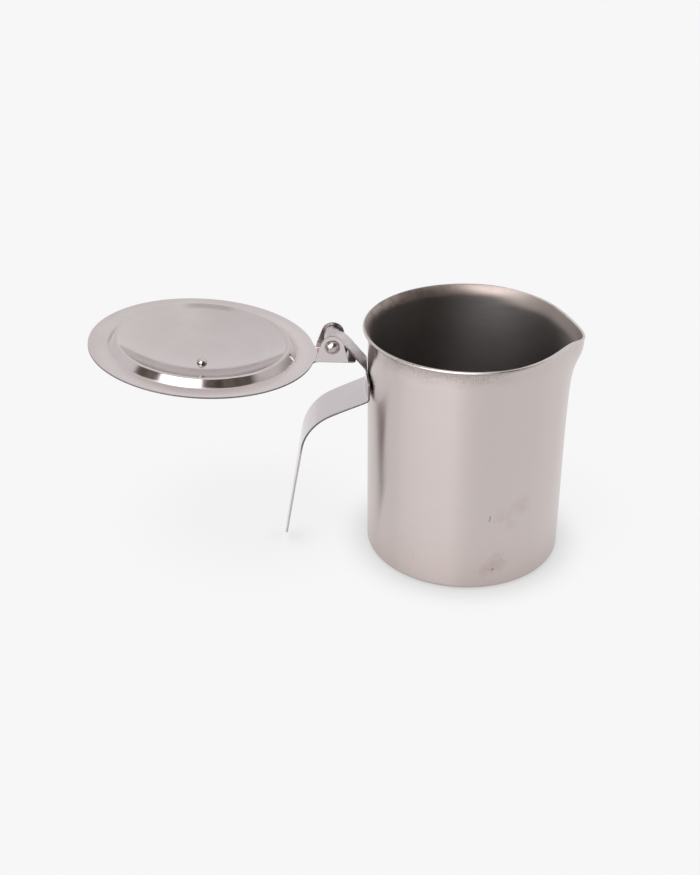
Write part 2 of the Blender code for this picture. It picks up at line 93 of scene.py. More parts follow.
def round_corner(before: Point, corner: Point, after: Point, radius: float,
                 steps: int) -> list[Point]:
    """Round one corner of a path.

    Args:
        before: The path's point before the corner.
        corner: The corner.
        after: The path's point after it.
        radius: Radius of the bend.
        steps: Number of chords in the bend.

    Returns:
        The points of the bend.
    """
    knee = Vector(corner)
    incoming = (knee - Vector(before)).normalized()
    outgoing = (Vector(after) - knee).normalized()
    turn = incoming.angle_signed(outgoing)
    side = -math.copysign(1.0, turn)
    start = knee - incoming * radius * math.tan(abs(turn) / 2.0)
    centre = start + Vector((-incoming.y, incoming.x)) * side * radius
    sweeps = [Matrix.Rotation(abs(turn) * side * i / steps, 2) for i in range(steps + 1)]
    return [tuple(centre + sweep @ (start - centre)) for sweep in sweeps]


def cap(radius: float, rise: float) -> Point:
    """Radius of the sphere of a shallow cap, and half the angle that the cap spans."""
    sphere = (radius ** 2 + rise ** 2) / (2.0 * rise)
    return sphere, math.asin(min(radius / sphere, 1.0))


def bridge(bm: bmesh.types.BMesh, first: list, second: list) -> list[bmesh.types.BMFace]:
    """Join two closed rings of vertices with faces, where either may be a single point.

    Args:
        bm: Mesh that holds the vertices.
        first: One ring.
        second: The next ring.

    Returns:
        The faces, in the order of the rings' points.
    """
    faces = []
    count = max(len(first), len(second))
    for i in range(count):
        j = (i + 1) % count
        if len(first) == 1:
            corners = (first[0], second[i], second[j])
        elif len(second) == 1:
            corners = (first[i], second[0], first[j])
        else:
            corners = (first[i], second[i], second[j], first[j])
        faces.append(bm.faces.new(corners))
    return faces


def finish_mesh(bm: bmesh.types.BMesh, name: str) -> Mesh:
    """Turn the finished faces outwards and make the mesh."""
    bmesh.ops.recalc_face_normals(bm, faces=bm.faces)
    mesh = bpy.data.meshes.new(name)
    bm.to_mesh(mesh)
    bm.free()
    return mesh


def aim_faces(mesh: Mesh, outward: Callable[[Vector], Vector]) -> None:
    """Flip a sheet's faces where most of them look away from its outer side.

    Args:
        mesh: The sheet.
        outward: Rule that gives the outer direction at a face's centre.
    """
    if sum(face.area * face.normal.dot(outward(face.center)) for face in mesh.polygons) < 0.0:
        mesh.flip_normals()


def turned_mesh(name: str, section: Sequence[Point], columns: int) -> Mesh:
    """Turn a section about the Z axis.

    Args:
        name: Name of the mesh.
        section: Points as (radius, height) along the section.
        columns: Number of facets round the axis.

    Returns:
        The turned mesh.
    """
    bm = bmesh.new()
    rings = []
    for radius, z in section:
        if radius == 0.0:
            rings.append([bm.verts.new((0.0, 0.0, z))])
        else:
            ring = arc((0.0, 0.0), radius, 0.0, 2.0 * math.pi, columns)[:-1]
            rings.append([bm.verts.new((x, y, z)) for x, y in ring])
    for first, second in zip(rings, rings[1:]):
        bridge(bm, first, second)
    return finish_mesh(bm, name)


def add_object(name: str, data: bpy.types.ID, materials: Sequence[Material] = ()) -> Object:
    """Link an object for its data, with its finishes in the order of its slots."""
    obj = bpy.data.objects.new(name, data)
    bpy.context.scene.collection.objects.link(obj)
    for material in materials:
        data.materials.append(material)
    return obj


def settle(obj: Object) -> None:
    """Turn an object with modifiers into a plain mesh."""
    bpy.context.view_layer.update()
    depsgraph = bpy.context.evaluated_depsgraph_get()
    mesh = bpy.data.meshes.new_from_object(obj.evaluated_get(depsgraph))
    obj.modifiers.clear()
    obj.data = mesh


def thicken(obj: Object, thickness: float, inner_slot: int, edge_slot: int) -> None:
    """Give a surface the thickness of its sheet, against its normals.

    Args:
        obj: The surface.
        thickness: Thickness of the sheet.
        inner_slot: Slots that the new side's finish lies further on.
        edge_slot: Slots that the cut edge's finish lies further on.
    """
    solidify = obj.modifiers.new("Sheet", "SOLIDIFY")
    solidify.thickness = thickness
    solidify.offset = -1.0
    solidify.use_even_offset = True
    solidify.material_offset = inner_slot
    solidify.material_offset_rim = edge_slot


def soften_edges(obj: Object, width: float) -> None:
    """Round the edges of a piece that are sharper than the bevel angle."""
    bevel = obj.modifiers.new("Soft edges", "BEVEL")
    bevel.width = width
    bevel.segments = BEVEL_FACETS
    bevel.limit_method = "ANGLE"
    bevel.angle_limit = BEVEL_ANGLE


def shade(obj: Object) -> None:
    """Smooth the round faces and keep the creases."""
    obj.data.shade_smooth()
    obj.data.set_sharp_from_angle(angle=CREASE_ANGLE)


class Body(Enum):
    """The two bodies of the model."""

    JUG = "jug"
    LID = "lid"


@dataclass(frozen=True)
class Datum:
    """Sizes that several pieces share."""

    wall_radius: float = 0.0400
    height: float = 0.0983
    pin_behind_wall: float = 0.0138
    pin_below_rim: float = 0.0063
    open_tilt: float = math.radians(5.6)
    lid_setback: float = 0.0030
    seat_gap: float = 0.0003

    @property
    def pin_x(self) -> float:
        """Place of the hinge pin along X."""
        return -(self.wall_radius + self.pin_behind_wall)

    @property
    def pin_z(self) -> float:
        """Height of the hinge pin."""
        return self.height - self.pin_below_rim

    @property
    def lid_centre_x(self) -> float:
        """Distance from the pin to the lid's centre."""
        return self.wall_radius + self.pin_behind_wall - self.lid_setback

    @property
    def lid_edge_z(self) -> float:
        """Height of the lid's edge above the pin when it is shut."""
        return self.pin_below_rim + self.seat_gap

    def open_place(self) -> Matrix:
        """Matrix that takes a lid piece, made shut about the pin, to where it stands open."""
        turn = Matrix.Rotation(self.open_tilt - math.pi, 4, "Y")
        return Matrix.Translation((self.pin_x, 0.0, self.pin_z)) @ turn


DATUM = Datum()


def mount(obj: Object, body: Body, node: str) -> None:
    """Let a finished piece stand for its CAD node.

    Args:
        obj: The finished piece.
        body: Body that it rides on.
        node: CAD node that it replaces.
    """
    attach(obj, body.value)
    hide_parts(node)
    log.info("%s: %d faces on %s", obj.name, len(obj.data.polygons), body.value)


class NodeDesk:
    """Adds nodes to one tree and joins them."""

    def __init__(self, tree: Tree) -> None:
        """Keep the tree to work on."""
        self.tree = tree

    def feed(self, socket: Socket, value: Term) -> None:
        """Link a socket to another, or set its value."""
        if isinstance(value, Socket):
            self.tree.links.new(value, socket)
        else:
            socket.default_value = value

    def add(self, kind: str, inputs: dict, **settings: object) -> bpy.types.Node:
        """Add one node.

        Args:
            kind: Type of the node.
            inputs: Value or socket for each input, by name or number.
            **settings: The node's own settings.

        Returns:
            The node.
        """
        node = self.tree.nodes.new(kind)
        for name, value in settings.items():
            setattr(node, name, value)
        for key, value in inputs.items():
            self.feed(node.inputs[key], value)
        return node

    def add_group(self, tree: Tree, inputs: dict) -> bpy.types.Node:
        """Add a group node with its inputs."""
        return self.add("ShaderNodeGroup", inputs, node_tree=tree)

    def math(self, operation: str, first: Term, second: Term = 0.0) -> Socket:
        """Add a math node and return its result."""
        return self.add("ShaderNodeMath", {0: first, 1: second}, operation=operation).outputs[0]

    def times(self, *terms: Term) -> Socket:
        """Multiply terms from left to right."""
        return reduce(lambda first, second: self.math("MULTIPLY", first, second), terms)

    def plus(self, *terms: Term) -> Socket:
        """Add terms from left to right."""
        return reduce(lambda first, second: self.math("ADD", first, second), terms)

    def minus(self, first: Term, second: Term) -> Socket:
        """Subtract one term from another."""
        return self.math("SUBTRACT", first, second)

    def length(self, first: Term, second: Term) -> Socket:
        """Distance with two sides at right angles."""
        return self.math("SQRT", self.plus(self.times(first, first), self.times(second, second)))

    def split(self, vector: Term) -> tuple:
        """Take the X, Y and Z sockets of a vector."""
        return tuple(self.add("ShaderNodeSeparateXYZ", {0: vector}).outputs)

    def join(self, x: Term = 0.0, y: Term = 0.0, z: Term = 0.0) -> Socket:
        """Make a vector of X, Y and Z."""
        return self.add("ShaderNodeCombineXYZ", {0: x, 1: y, 2: z}).outputs[0]

    def between(self, value: Term, low: Term, high: Term, start: Term = 0.0,
                end: Term = 1.0) -> Socket:
        """Ease from one result to another as a value goes from low to high.

        Args:
            value: The value.
            low: Where the ease begins.
            high: Where it ends.
            start: Result before it.
            end: Result after it.

        Returns:
            The eased result.
        """
        inputs = {"Value": value, "From Min": low, "From Max": high, "To Min": start, "To Max": end}
        return self.add("ShaderNodeMapRange", inputs, interpolation_type="SMOOTHSTEP").outputs[0]

    def band(self, value: Term, rise: Point, fall: Point) -> Socket:
        """Ease up over one span of a value and down over another."""
        return self.times(self.between(value, *rise), self.between(value, *fall))

    def blend(self, share: Term, first: Term, second: Term) -> Socket:
        """Mix two colours by a share and return the result."""
        inputs = {0: share, 6: first, 7: second}
        return self.add("ShaderNodeMix", inputs, data_type="RGBA").outputs[2]

    def noise(self, vector: Term, scale: Term, detail: float = 2.0,
              roughness: float = 0.5) -> Socket:
        """Add a noise texture and return its value."""
        inputs = {"Vector": vector, "Scale": scale, "Detail": detail, "Roughness": roughness}
        return self.add("ShaderNodeTexNoise", inputs).outputs[0]

    def stray(self, vector: Term, scale: float, detail: float, reach: Term) -> Socket:
        """Noise about zero that shifts the border of a mask."""
        return self.times(self.minus(self.noise(vector, scale, detail, 0.6), 0.5), reach)


def new_group(name: str, vectors: Sequence[str], numbers: Sequence[str],
              outputs: Sequence[str]) -> tuple:
    """Start a shader node group.

    Args:
        name: Name of the group.
        vectors: Names of its vector inputs.
        numbers: Names of its number inputs.
        outputs: Names of its number outputs.

    Returns:
        The desk for the group, its input node and its output node.
    """
    tree = bpy.data.node_groups.new(name, "ShaderNodeTree")
    for label in vectors:
        tree.interface.new_socket(label, in_out="INPUT", socket_type="NodeSocketVector")
    for label in numbers:
        tree.interface.new_socket(label, in_out="INPUT", socket_type="NodeSocketFloat")
    for label in outputs:
        tree.interface.new_socket(label, in_out="OUTPUT", socket_type="NodeSocketFloat")
    desk = NodeDesk(tree)
    return desk, desk.add("NodeGroupInput", {}), desk.add("NodeGroupOutput", {})


class SteelEffects:
    """Shader groups that the steel finishes share."""

    def __init__(self) -> None:
        """Build each group once."""
        self.grain = self.build_grain()
        self.soil = self.build_soil()
        self.spot = self.build_spot()

    @staticmethod
    def build_grain() -> Tree:
        """Tone and height of the fine lines left by a brush, stretched along the way it ran."""
        desk, given, result = new_group(
            "brushed_lines", ["Vector", "Lines"], [], ["Tone", "Height"])
        ends = {0: given.outputs["Vector"], 1: given.outputs["Lines"]}
        stretched = desk.add("ShaderNodeVectorMath", ends, operation="MULTIPLY").outputs[0]
        broad = desk.noise(stretched, 1.0, 3.0, 0.6)
        fine = desk.noise(stretched, 3.7, 2.0, 0.6)
        desk.feed(result.inputs["Tone"], desk.between(broad, 0.30, 0.70))
        desk.feed(result.inputs["Height"], desk.plus(desk.times(broad, 0.5), desk.times(fine, 0.5)))
        return desk.tree

    @staticmethod
    def build_soil() -> Tree:
        """Mask of the cloudy marks of handling, grease and heat."""
        desk, given, result = new_group("handling_marks", ["Vector"], ["Scale", "Amount"], ["Mask"])
        cloud = desk.noise(given.outputs["Vector"], given.outputs["Scale"], 7.0, 0.62)
        low = desk.minus(0.85, desk.times(given.outputs["Amount"], 0.5))
        desk.feed(result.inputs["Mask"], desk.between(cloud, low, desk.plus(low, 0.22)))
        return desk.tree

    @staticmethod
    def build_spot() -> Tree:
        """Mask of one soft-edged stain with a ragged outline."""
        desk, given, result = new_group(
            "ragged_stain", ["Vector", "Centre"], ["Radius", "Ragged"], ["Mask"])
        ends = {0: given.outputs["Vector"], 1: given.outputs["Centre"]}
        away = desk.add("ShaderNodeVectorMath", ends, operation="DISTANCE").outputs["Value"]
        shift = desk.stray(given.outputs["Vector"], 420.0, 4.0, given.outputs["Ragged"])
        ratio = desk.math("DIVIDE", desk.plus(away, shift), given.outputs["Radius"])
        desk.feed(result.inputs["Mask"], desk.between(ratio, 1.0, 0.2))
        return desk.tree


@dataclass(frozen=True)
class Tint:
    """Colour that a mark gives the steel, its share, and the roughness that it adds."""

    colour: Place
    share: float = 1.0
    rough: float = 0.0


@dataclass(frozen=True)
class Stain:
    """A mark at one place on a finish."""

    centre: Place
    radius: float
    ragged: float
    tint: Tint


@dataclass(frozen=True)
class Mottle:
    """Patchy share of a mask, from a noise between two levels."""

    scale: float
    detail: float
    roughness: float
    low: float
    high: float
    least: float = 0.0

    def at(self, desk: NodeDesk, where: Socket) -> Socket:
        """Share at a place, from the least to 1."""
        patches = desk.noise(where, self.scale, self.detail, self.roughness)
        return desk.between(patches, self.low, self.high, self.least)


def below_rim(span: Point) -> Point:
    """Heights at two depths below the rim."""
    return DATUM.height - span[0], DATUM.height - span[1]


@dataclass(frozen=True)
class SteelFinish:
    """A steel surface with its brush lines, marks and stains."""

    name: str
    colour: Place
    soil_colour: Place
    roughness: float
    lines: Place
    line_tone: float = 0.04
    line_rough: float = 0.06
    line_height: float = 0.15
    line_depth: float = 0.00002
    soil_scale: float = 60.0
    soil_amount: float = 0.4
    soil_strength: float = 0.3
    soil_rough: float = 0.25
    anisotropic: float = 0.0
    brush_turn: float = 0.25
    stains: tuple[Stain, ...] = ()
    place: Matrix = field(default_factory=lambda: Matrix.Identity(4))

    def coordinates(self, desk: NodeDesk) -> Socket:
        """Place on the piece, turned to the piece's own axes."""
        where = desk.add("ShaderNodeTexCoord", {}).outputs["Object"]
        back = self.place.inverted()
        inputs = {"Vector": where, "Location": tuple(back.translation),
                  "Rotation": tuple(back.to_euler())}
        return desk.add("ShaderNodeMapping", inputs).outputs["Vector"]

    def masks(self, desk: NodeDesk, where: Socket) -> list[tuple]:
        """Masks that this finish adds to the shared ones.

        Args:
            desk: Desk of the material.
            where: Place on the piece.

        Returns:
            Each mask with its tint, in the order that they cover each other.
        """
        return []

    def marks(self, desk: NodeDesk, effects: SteelEffects, where: Socket) -> list[tuple]:
        """Every mark on the bare steel: the soil, the stains and the finish's own masks.

        Args:
            desk: Desk of the material.
            effects: The shared effects.
            where: Place on the piece.

        Returns:
            Each mask with its tint, in the order that they cover each other.
        """
        soil = desk.add_group(effects.soil, {
            "Vector": where, "Scale": self.soil_scale, "Amount": self.soil_amount})
        tint = Tint(self.soil_colour, self.soil_strength, self.soil_rough)
        marks = [(soil.outputs["Mask"], tint)]
        for stain in self.stains:
            spot = desk.add_group(effects.spot, {
                "Vector": where, "Centre": stain.centre, "Radius": stain.radius,
                "Ragged": stain.ragged})
            marks.append((spot.outputs["Mask"], stain.tint))
        return marks + self.masks(desk, where)

    def build(self, effects: SteelEffects) -> Material:
        """Make the material.

        Args:
            effects: The shared effects.

        Returns:
            The material.
        """
        material = bpy.data.materials.new(self.name)
        material.use_nodes = True
        desk = NodeDesk(material.node_tree)
        shader = material.node_tree.nodes["Principled BSDF"]
        where = self.coordinates(desk)
        grain = desk.add_group(effects.grain, {"Vector": where, "Lines": self.lines})
        light = [min(c * (1.0 + self.line_tone), 1.0) for c in self.colour]
        dark = [c * (1.0 - self.line_tone) for c in self.colour]
        colour = desk.blend(grain.outputs["Tone"], (*dark, 1.0), (*light, 1.0))
        rough = desk.plus(desk.times(grain.outputs["Tone"], self.line_rough),
                          self.roughness - self.line_rough / 2.0)
        for mask, tint in self.marks(desk, effects, where):
            share = desk.times(mask, tint.share)
            colour = desk.blend(share, colour, (*tint.colour, 1.0))
            rough = desk.plus(rough, desk.times(share, tint.rough))
        bump = desk.add("ShaderNodeBump", {
            "Strength": self.line_height, "Distance": self.line_depth,
            "Height": grain.outputs["Height"]})
        values = {"Base Color": colour, "Roughness": rough, "Normal": bump.outputs["Normal"],
                  "Metallic": 1.0, "Anisotropic": self.anisotropic,
                  "Anisotropic Rotation": self.brush_turn}
        for label, value in values.items():
            desk.feed(shader.inputs[label], value)
        return material


@dataclass(frozen=True)
class OutsideSatin(SteelFinish):
    """Satin outside of the jug, with a dull speckled patina in the hollow under the lip."""

    patina: Tint = Tint((0.22, 0.180, 0.165), 0.50, 0.15)
    patina_top: Point = (0.0008, 0.0024)
    patina_foot: Point = (0.0086, 0.0030)
    patina_back: tuple[float, ...] = (-0.038, -0.026, 0.3)
    patina_front: tuple[float, ...] = (0.018, 0.002, 0.15)
    speckle: Mottle = Mottle(1700.0, 5.0, 0.75, 0.42, 0.60, 0.25)
    warm: Tint = Tint((0.55, 0.455, 0.420), 0.35, 0.02)
    warm_height: Point = (0.030, 0.004)
    wander: float = 0.006
    wander_scale: float = 140.0

    def masks(self, desk: NodeDesk, where: Socket) -> list[tuple]:
        """The patina under the lip, and the warmer foot of the wall."""
        x, _, z = desk.split(where)
        level = desk.plus(z, desk.stray(where, self.wander_scale, 3.0, self.wander))
        patina = desk.times(
            desk.between(z, *below_rim(self.patina_top)),
            desk.between(level, *below_rim(self.patina_foot)), self.speckle.at(desk, where),
            desk.between(x, *self.patina_back), desk.between(x, *self.patina_front))
        return [(patina, self.patina), (desk.between(level, *self.warm_height), self.warm)]


@dataclass(frozen=True)
class InsideSeasoningAndShade(SteelFinish):
    """Inside of the jug: its dark base colour is painted shade over real seasoning, lighter in the
    flare of the lip.
    """

    spout_dip: float = 0.0044
    spout_half_angle: float = math.radians(18.0)
    wander: float = 0.0016
    wander_scale: float = 120.0
    flare: Tint = Tint((0.37, 0.308, 0.286))
    flare_edge: Point = (0.0064, 0.0034)
    brown: Tint = Tint((0.20, 0.160, 0.145), 0.55, 0.05)
    brown_side: tuple[float, ...] = (0.004, -0.022, 0.25)
    patches: Mottle = Mottle(260.0, 5.0, 0.65, 0.44, 0.62)
    # Worn steel in the spout, with a lighter colour that is partly painted light.
    wear_and_painted_light: Tint = Tint((0.56, 0.487, 0.462), 1.0, 0.16)
    worn_edge: Point = (0.0085, 0.0040)
    worn_side: Point = (0.010, 0.024)

    def masks(self, desk: NodeDesk, where: Socket) -> list[tuple]:
        """The flare band left lighter than the painted shade, its brown patches, and the worn steel
        in the spout, whose lighter colour is partly painted light.
        """
        x, y, z = desk.split(where)
        share = desk.math("DIVIDE", desk.math("ARCTAN2", y, x), self.spout_half_angle)
        bell = desk.math("EXPONENT", desk.times(share, share, -1.0))
        level = desk.plus(z, desk.stray(where, self.wander_scale, 3.0, self.wander),
                          desk.times(bell, self.spout_dip))
        # The flare band is left lighter than the painted shade below it.
        flare_band = desk.between(level, *below_rim(self.flare_edge))
        brown = desk.times(flare_band, self.patches.at(desk, where),
                           desk.between(x, *self.brown_side))
        wear_and_painted_light = desk.times(desk.between(level, *below_rim(self.worn_edge)),
                          desk.between(x, *self.worn_side))
        return [(flare_band, self.flare), (brown, self.brown), (wear_and_painted_light, self.wear_and_painted_light)]


@dataclass(frozen=True)
class StrapPolish(SteelFinish):
    """Polished strip, duller where the bracket comes down to the wall."""

    film: Tint = Tint((0.30, 0.265, 0.255), 0.62, 0.12)
    film_edge: Point = (0.0180, 0.0140)
    film_mottle: Mottle = Mottle(900.0, 4.0, 0.70, 0.40, 0.62, 0.2)
    foot: Tint = Tint((0.16, 0.140, 0.132), 0.70, 0.12)
    foot_reach: Point = (-DATUM.wall_radius - 0.0090, -DATUM.wall_radius - 0.0015)
    foot_mottle: Mottle = Mottle(600.0, 3.0, 0.60, 0.35, 0.65, 0.6)

    def masks(self, desk: NodeDesk, where: Socket) -> list[tuple]:
        """The film above the plate, and the dull foot of the bracket."""
        x, _, z = desk.split(where)
        above = desk.between(z, *below_rim(self.film_edge))
        film = desk.times(above, self.film_mottle.at(desk, where))
        foot = desk.times(desk.between(x, *self.foot_reach), above,
                          self.foot_mottle.at(desk, where))
        return [(film, self.film), (foot, self.foot)]


@dataclass(frozen=True)
class StrapEdge(SteelFinish):
    """Sheared edge of the strip, bright below the bend and darkened above it by painted shade."""

    # Painted shade on the edge above the bend.
    shade_above_bend: Tint = Tint((0.16, 0.140, 0.135), 1.0, 0.06)
    bend: Point = (0.0440, 0.0500)

    def masks(self, desk: NodeDesk, where: Socket) -> list[tuple]:
        """The painted shade on the edge above the bend."""
        return [(desk.between(desk.split(where)[2], *self.bend), self.shade_above_bend)]


@dataclass(frozen=True)
class LidPolish(SteelFinish):
    """Polished lid with greasy dirt and painted shade between the ears of the hinge, painted shade
    round the pin head and on the tongue's end, and a film about the ridge.
    """

    # Greasy dirt between the ears, darkened further as painted shade.
    grease_and_shade: Tint = Tint((0.05, 0.042, 0.036), 1.0, 0.25)
    grease_and_shade_span: Point = (0.0064, 0.0061)
    grease_and_shade_reach: Point = (0.0092, 0.0072)
    grease_and_shade_level: Point = (0.0062, 0.0042)
    grease_and_shade_mottle: Mottle = Mottle(700.0, 4.0, 0.65, 0.38, 0.62, 0.45)
    # Painted shade in a ring round the pin head.
    ring: Tint = Tint((0.05, 0.042, 0.036), 0.70, 0.20)
    pin_head_shade_edge: Point = (0.0033, 0.0027)
    pin_head_shade_mottle: Mottle = Mottle(900.0, 2.0, 0.50, 0.30, 0.60, 0.5)
    # Painted shadow on the tongue's end beside the bracket.
    end: Tint = Tint((0.05, 0.042, 0.036), 0.90, 0.25)
    tongue_end_shade_reach: Point = (-0.0064, -0.0072)
    # Darker brownish patch on the far ridge.
    far_ridge_darkening: Tint = Tint((0.27, 0.235, 0.205), 0.55, 0.10)
    far_ridge_darkening_ring: tuple[Point, Point] = ((0.0310, 0.0324), (0.0340, 0.0332))
    far_ridge_darkening_width: Point = (0.0130, 0.0050)
    far_ridge_darkening_side: Point = (0.0, 0.01)
    film: Tint = Tint((0.60, 0.545, 0.540), 1.0, 0.30)
    film_ring: tuple[Point, Point] = ((0.0322, 0.0332), (0.0390, 0.0370))
    film_side: Point = (-0.020, -0.028)
    haze: Tint = Tint((0.68, 0.615, 0.610), 1.0, 0.26)
    haze_ring: tuple[Point, Point] = ((0.0363, 0.0370), (0.0430, 0.0400))
    cloud: Tint = Tint((0.48, 0.435, 0.410), 0.40, 0.03)
    cloud_slant: Point = (-0.012, 0.036)
    cloud_mottle: Mottle = Mottle(45.0, 3.0, 0.50, 0.30, 0.65, 0.4)

    def masks(self, desk: NodeDesk, where: Socket) -> list[tuple]:
        """The grease and painted shade at the hinge, and the dark patch, film, haze and cloud on
        the pressed sheet.
        """
        x, y, z = desk.split(where)
        # Grease with painted shade between the ears, painted shade round the pin head, and painted
        # shadow on the tongue's end.
        inside = desk.between(desk.math("ABSOLUTE", y), *self.grease_and_shade_span)
        grease_and_shade = desk.times(inside, desk.between(x, *self.grease_and_shade_reach),
                          self.grease_and_shade_mottle.at(desk, where), desk.between(z, *self.grease_and_shade_level))
        ring = desk.times(desk.between(desk.length(x, z), *self.pin_head_shade_edge),
                          self.pin_head_shade_mottle.at(desk, where))
        end = desk.times(desk.between(x, *self.tongue_end_shade_reach), inside)
        along = desk.minus(x, DATUM.lid_centre_x)
        out = desk.length(along, y)
        # Darker brownish patch on the far ridge.
        far_ridge_darkening = desk.times(
            desk.band(out, *self.far_ridge_darkening_ring), desk.between(y, *self.far_ridge_darkening_side),
            desk.between(desk.math("ABSOLUTE", along), *self.far_ridge_darkening_width))
        film = desk.times(desk.band(out, *self.film_ring), desk.between(along, *self.film_side))
        cloud = desk.times(desk.between(desk.plus(along, y), *self.cloud_slant),
                           self.cloud_mottle.at(desk, where))
        return [(grease_and_shade, self.grease_and_shade), (ring, self.ring), (end, self.end), (far_ridge_darkening, self.far_ridge_darkening),
                (film, self.film), (desk.band(out, *self.haze_ring), self.haze),
                (cloud, self.cloud)]


def wall_stains() -> tuple[Stain, ...]:
    """List the stains on the near side of the wall, with a dark tick of four dots."""
    brown, umber = (0.47, 0.36, 0.30), (0.43, 0.32, 0.26)
    dot, tick = (0.12, 0.08, 0.06), (0.22, 0.17, 0.15)
    rows = [
        (0.0195, 0.0365, 0.0060, 0.0100, brown, 0.15),
        (0.0125, 0.0335, 0.0050, 0.0090, brown, 0.12),
        (0.0160, 0.0290, 0.0035, 0.0060, brown, 0.11),
        (0.0105, 0.0120, 0.0060, 0.0080, umber, 0.26),
        (0.0055, 0.0090, 0.0045, 0.0070, umber, 0.22),
        (0.0092, 0.0092, 0.0006, 0.0003, dot, 0.80),
        (-0.0230, 0.0120, 0.0040, 0.0060, brown, 0.18),
    ]
    rows += [(0.0072 - 0.0001 * i, 0.0344 - 0.0007 * i, 0.00045, 0.0002, tick, 0.75)
             for i in range(4)]
    stains = []
    for x, z, radius, ragged, colour, share in rows:
        centre = (x, -math.sqrt(DATUM.wall_radius ** 2 - x ** 2), z)
        stains.append(Stain(centre, radius, ragged, Tint(colour, share, 0.15)))
    return tuple(stains)


# Dark patch round the vent hole: painted shade that stands in for the dark cavity seen through it.
VENT_PAINTED_SHADE = Stain((0.0155, -0.0063, 0.0058), 0.0019, 0.0004, Tint((0.06, 0.050, 0.045), 0.92, 0.15))

FINISHES = {
    "outside": OutsideSatin(
        "satin_outside", (0.605, 0.535, 0.520), (0.44, 0.37, 0.35), 0.235, (40.0, 40.0, 9000.0),
        line_tone=0.020, line_rough=0.03, line_height=0.014, soil_scale=38.0, soil_amount=0.45,
        soil_strength=0.10, anisotropic=0.95, stains=wall_stains()),
    # Inside: the dark base colour is painted shade over real seasoning.
    "inside": InsideSeasoningAndShade(
        "seasoned_inside_and_painted_shade", (0.325, 0.301, 0.296), (0.240, 0.221, 0.216), 0.46,
        (120.0, 120.0, 3000.0), line_tone=0.05, line_rough=0.08, soil_scale=30.0, soil_amount=0.5,
        soil_strength=0.5, anisotropic=0.3),
    "lip_edge": SteelFinish(
        "bright_lip_edge", (0.60, 0.545, 0.53), (0.30, 0.25, 0.23), 0.30, (400.0, 400.0, 400.0),
        soil_scale=160.0, soil_amount=0.5, soil_strength=0.5),
    "strap": StrapPolish(
        "polished_strap", (0.62, 0.565, 0.58), (0.42, 0.37, 0.36), 0.15, (120.0, 900.0, 120.0),
        line_tone=0.02, line_height=0.10, soil_scale=90.0, soil_amount=0.4, soil_strength=0.25),
    # Back of the strip: the same steel, darkened as painted shade.
    "strap_back_painted_shade": SteelFinish(
        "strap_back_painted_shade", (0.36, 0.325, 0.32), (0.26, 0.23, 0.22), 0.26, (120.0, 900.0, 120.0),
        line_tone=0.03, soil_scale=90.0, soil_amount=0.45, soil_strength=0.35),
    # Sheared strap edge, bright below the bend, with painted shade above it.
    "strap_edge": StrapEdge(
        "sheared_strap_edge_and_shade", (0.54, 0.49, 0.485), (0.34, 0.30, 0.29), 0.30, (900.0, 900.0, 900.0),
        line_tone=0.08, soil_scale=220.0, soil_amount=0.4, soil_strength=0.3),
    "lid": LidPolish(
        "polished_lid", (0.620, 0.560, 0.565), (0.45, 0.40, 0.38), 0.12, (60.0, 60.0, 300.0),
        line_tone=0.02, line_height=0.08, soil_scale=55.0, soil_amount=0.42, soil_strength=0.25,
        stains=(VENT_PAINTED_SHADE,), place=DATUM.open_place()),
    # The lid's cut edge: its dark colour is painted shade.
    "lid_edge": SteelFinish(
        "lid_edge_painted_shade", (0.21, 0.185, 0.18), (0.10, 0.085, 0.08), 0.38, (900.0, 900.0, 900.0),
        line_tone=0.12, soil_scale=220.0, soil_amount=0.5, soil_strength=0.5),
    "pin": SteelFinish(
        "polished_pin", (0.47, 0.425, 0.415), (0.20, 0.17, 0.15), 0.20, (500.0, 500.0, 500.0),
        soil_scale=420.0, soil_amount=0.6, soil_strength=0.6),
    "knob": SteelFinish(
        "turned_knob", (0.60, 0.55, 0.54), (0.40, 0.35, 0.33), 0.16, (60.0, 60.0, 2200.0),
        soil_scale=200.0, place=DATUM.open_place()),
    "rivet": SteelFinish(
        "rivet_head", (0.60, 0.55, 0.54), (0.14, 0.12, 0.11), 0.16, (500.0, 500.0, 500.0),
        soil_scale=420.0, soil_amount=0.6, soil_strength=0.6, place=DATUM.open_place()),
}


class Finishes:
    """Makes the jug's finishes as materials over shared effects."""

    def __init__(self) -> None:
        """Build the shared effects."""
        self.effects = SteelEffects()

    def __getitem__(self, name: str) -> Material:
        """Make the material of one finish."""
        return FINISHES[name].build(self.effects)


def set_inputs(modifier: bpy.types.Modifier, values: dict[str, float]) -> None:
    """Set inputs of a Geometry Nodes modifier by their names."""
    for item in modifier.node_group.interface.items_tree:
        if item.item_type == "SOCKET" and item.in_out == "INPUT" and item.name in values:
            modifier[item.identifier] = values[item.name]


def new_shape_tree(name: str, inputs: Sequence[str]) -> tuple:
    """Start a Geometry Nodes tree with a geometry, a material and number inputs.

    Args:
        name: Name of the tree.
        inputs: Names of the numbers.

    Returns:
        The desk for the tree and its input node.
    """
    tree = bpy.data.node_groups.new(name, "GeometryNodeTree")
    tree.interface.new_socket("Geometry", in_out="INPUT", socket_type="NodeSocketGeometry")
    tree.interface.new_socket("Finish", in_out="INPUT", socket_type="NodeSocketMaterial")
    for label in inputs:
        tree.interface.new_socket(label, in_out="INPUT", socket_type="NodeSocketFloat")
    tree.interface.new_socket("Geometry", in_out="OUTPUT", socket_type="NodeSocketGeometry")
    desk = NodeDesk(tree)
    return desk, desk.add("NodeGroupInput", {})


def end_shape_tree(desk: NodeDesk, shape: Socket, finish: Socket) -> None:
    """End a tree in real geometry with its finish."""
    real = desk.add("GeometryNodeRealizeInstances", {"Geometry": shape}).outputs[0]
    dressed = desk.add("GeometryNodeSetMaterial", {"Geometry": real, "Material": finish}).outputs[0]
    desk.add("NodeGroupOutput", {0: dressed})


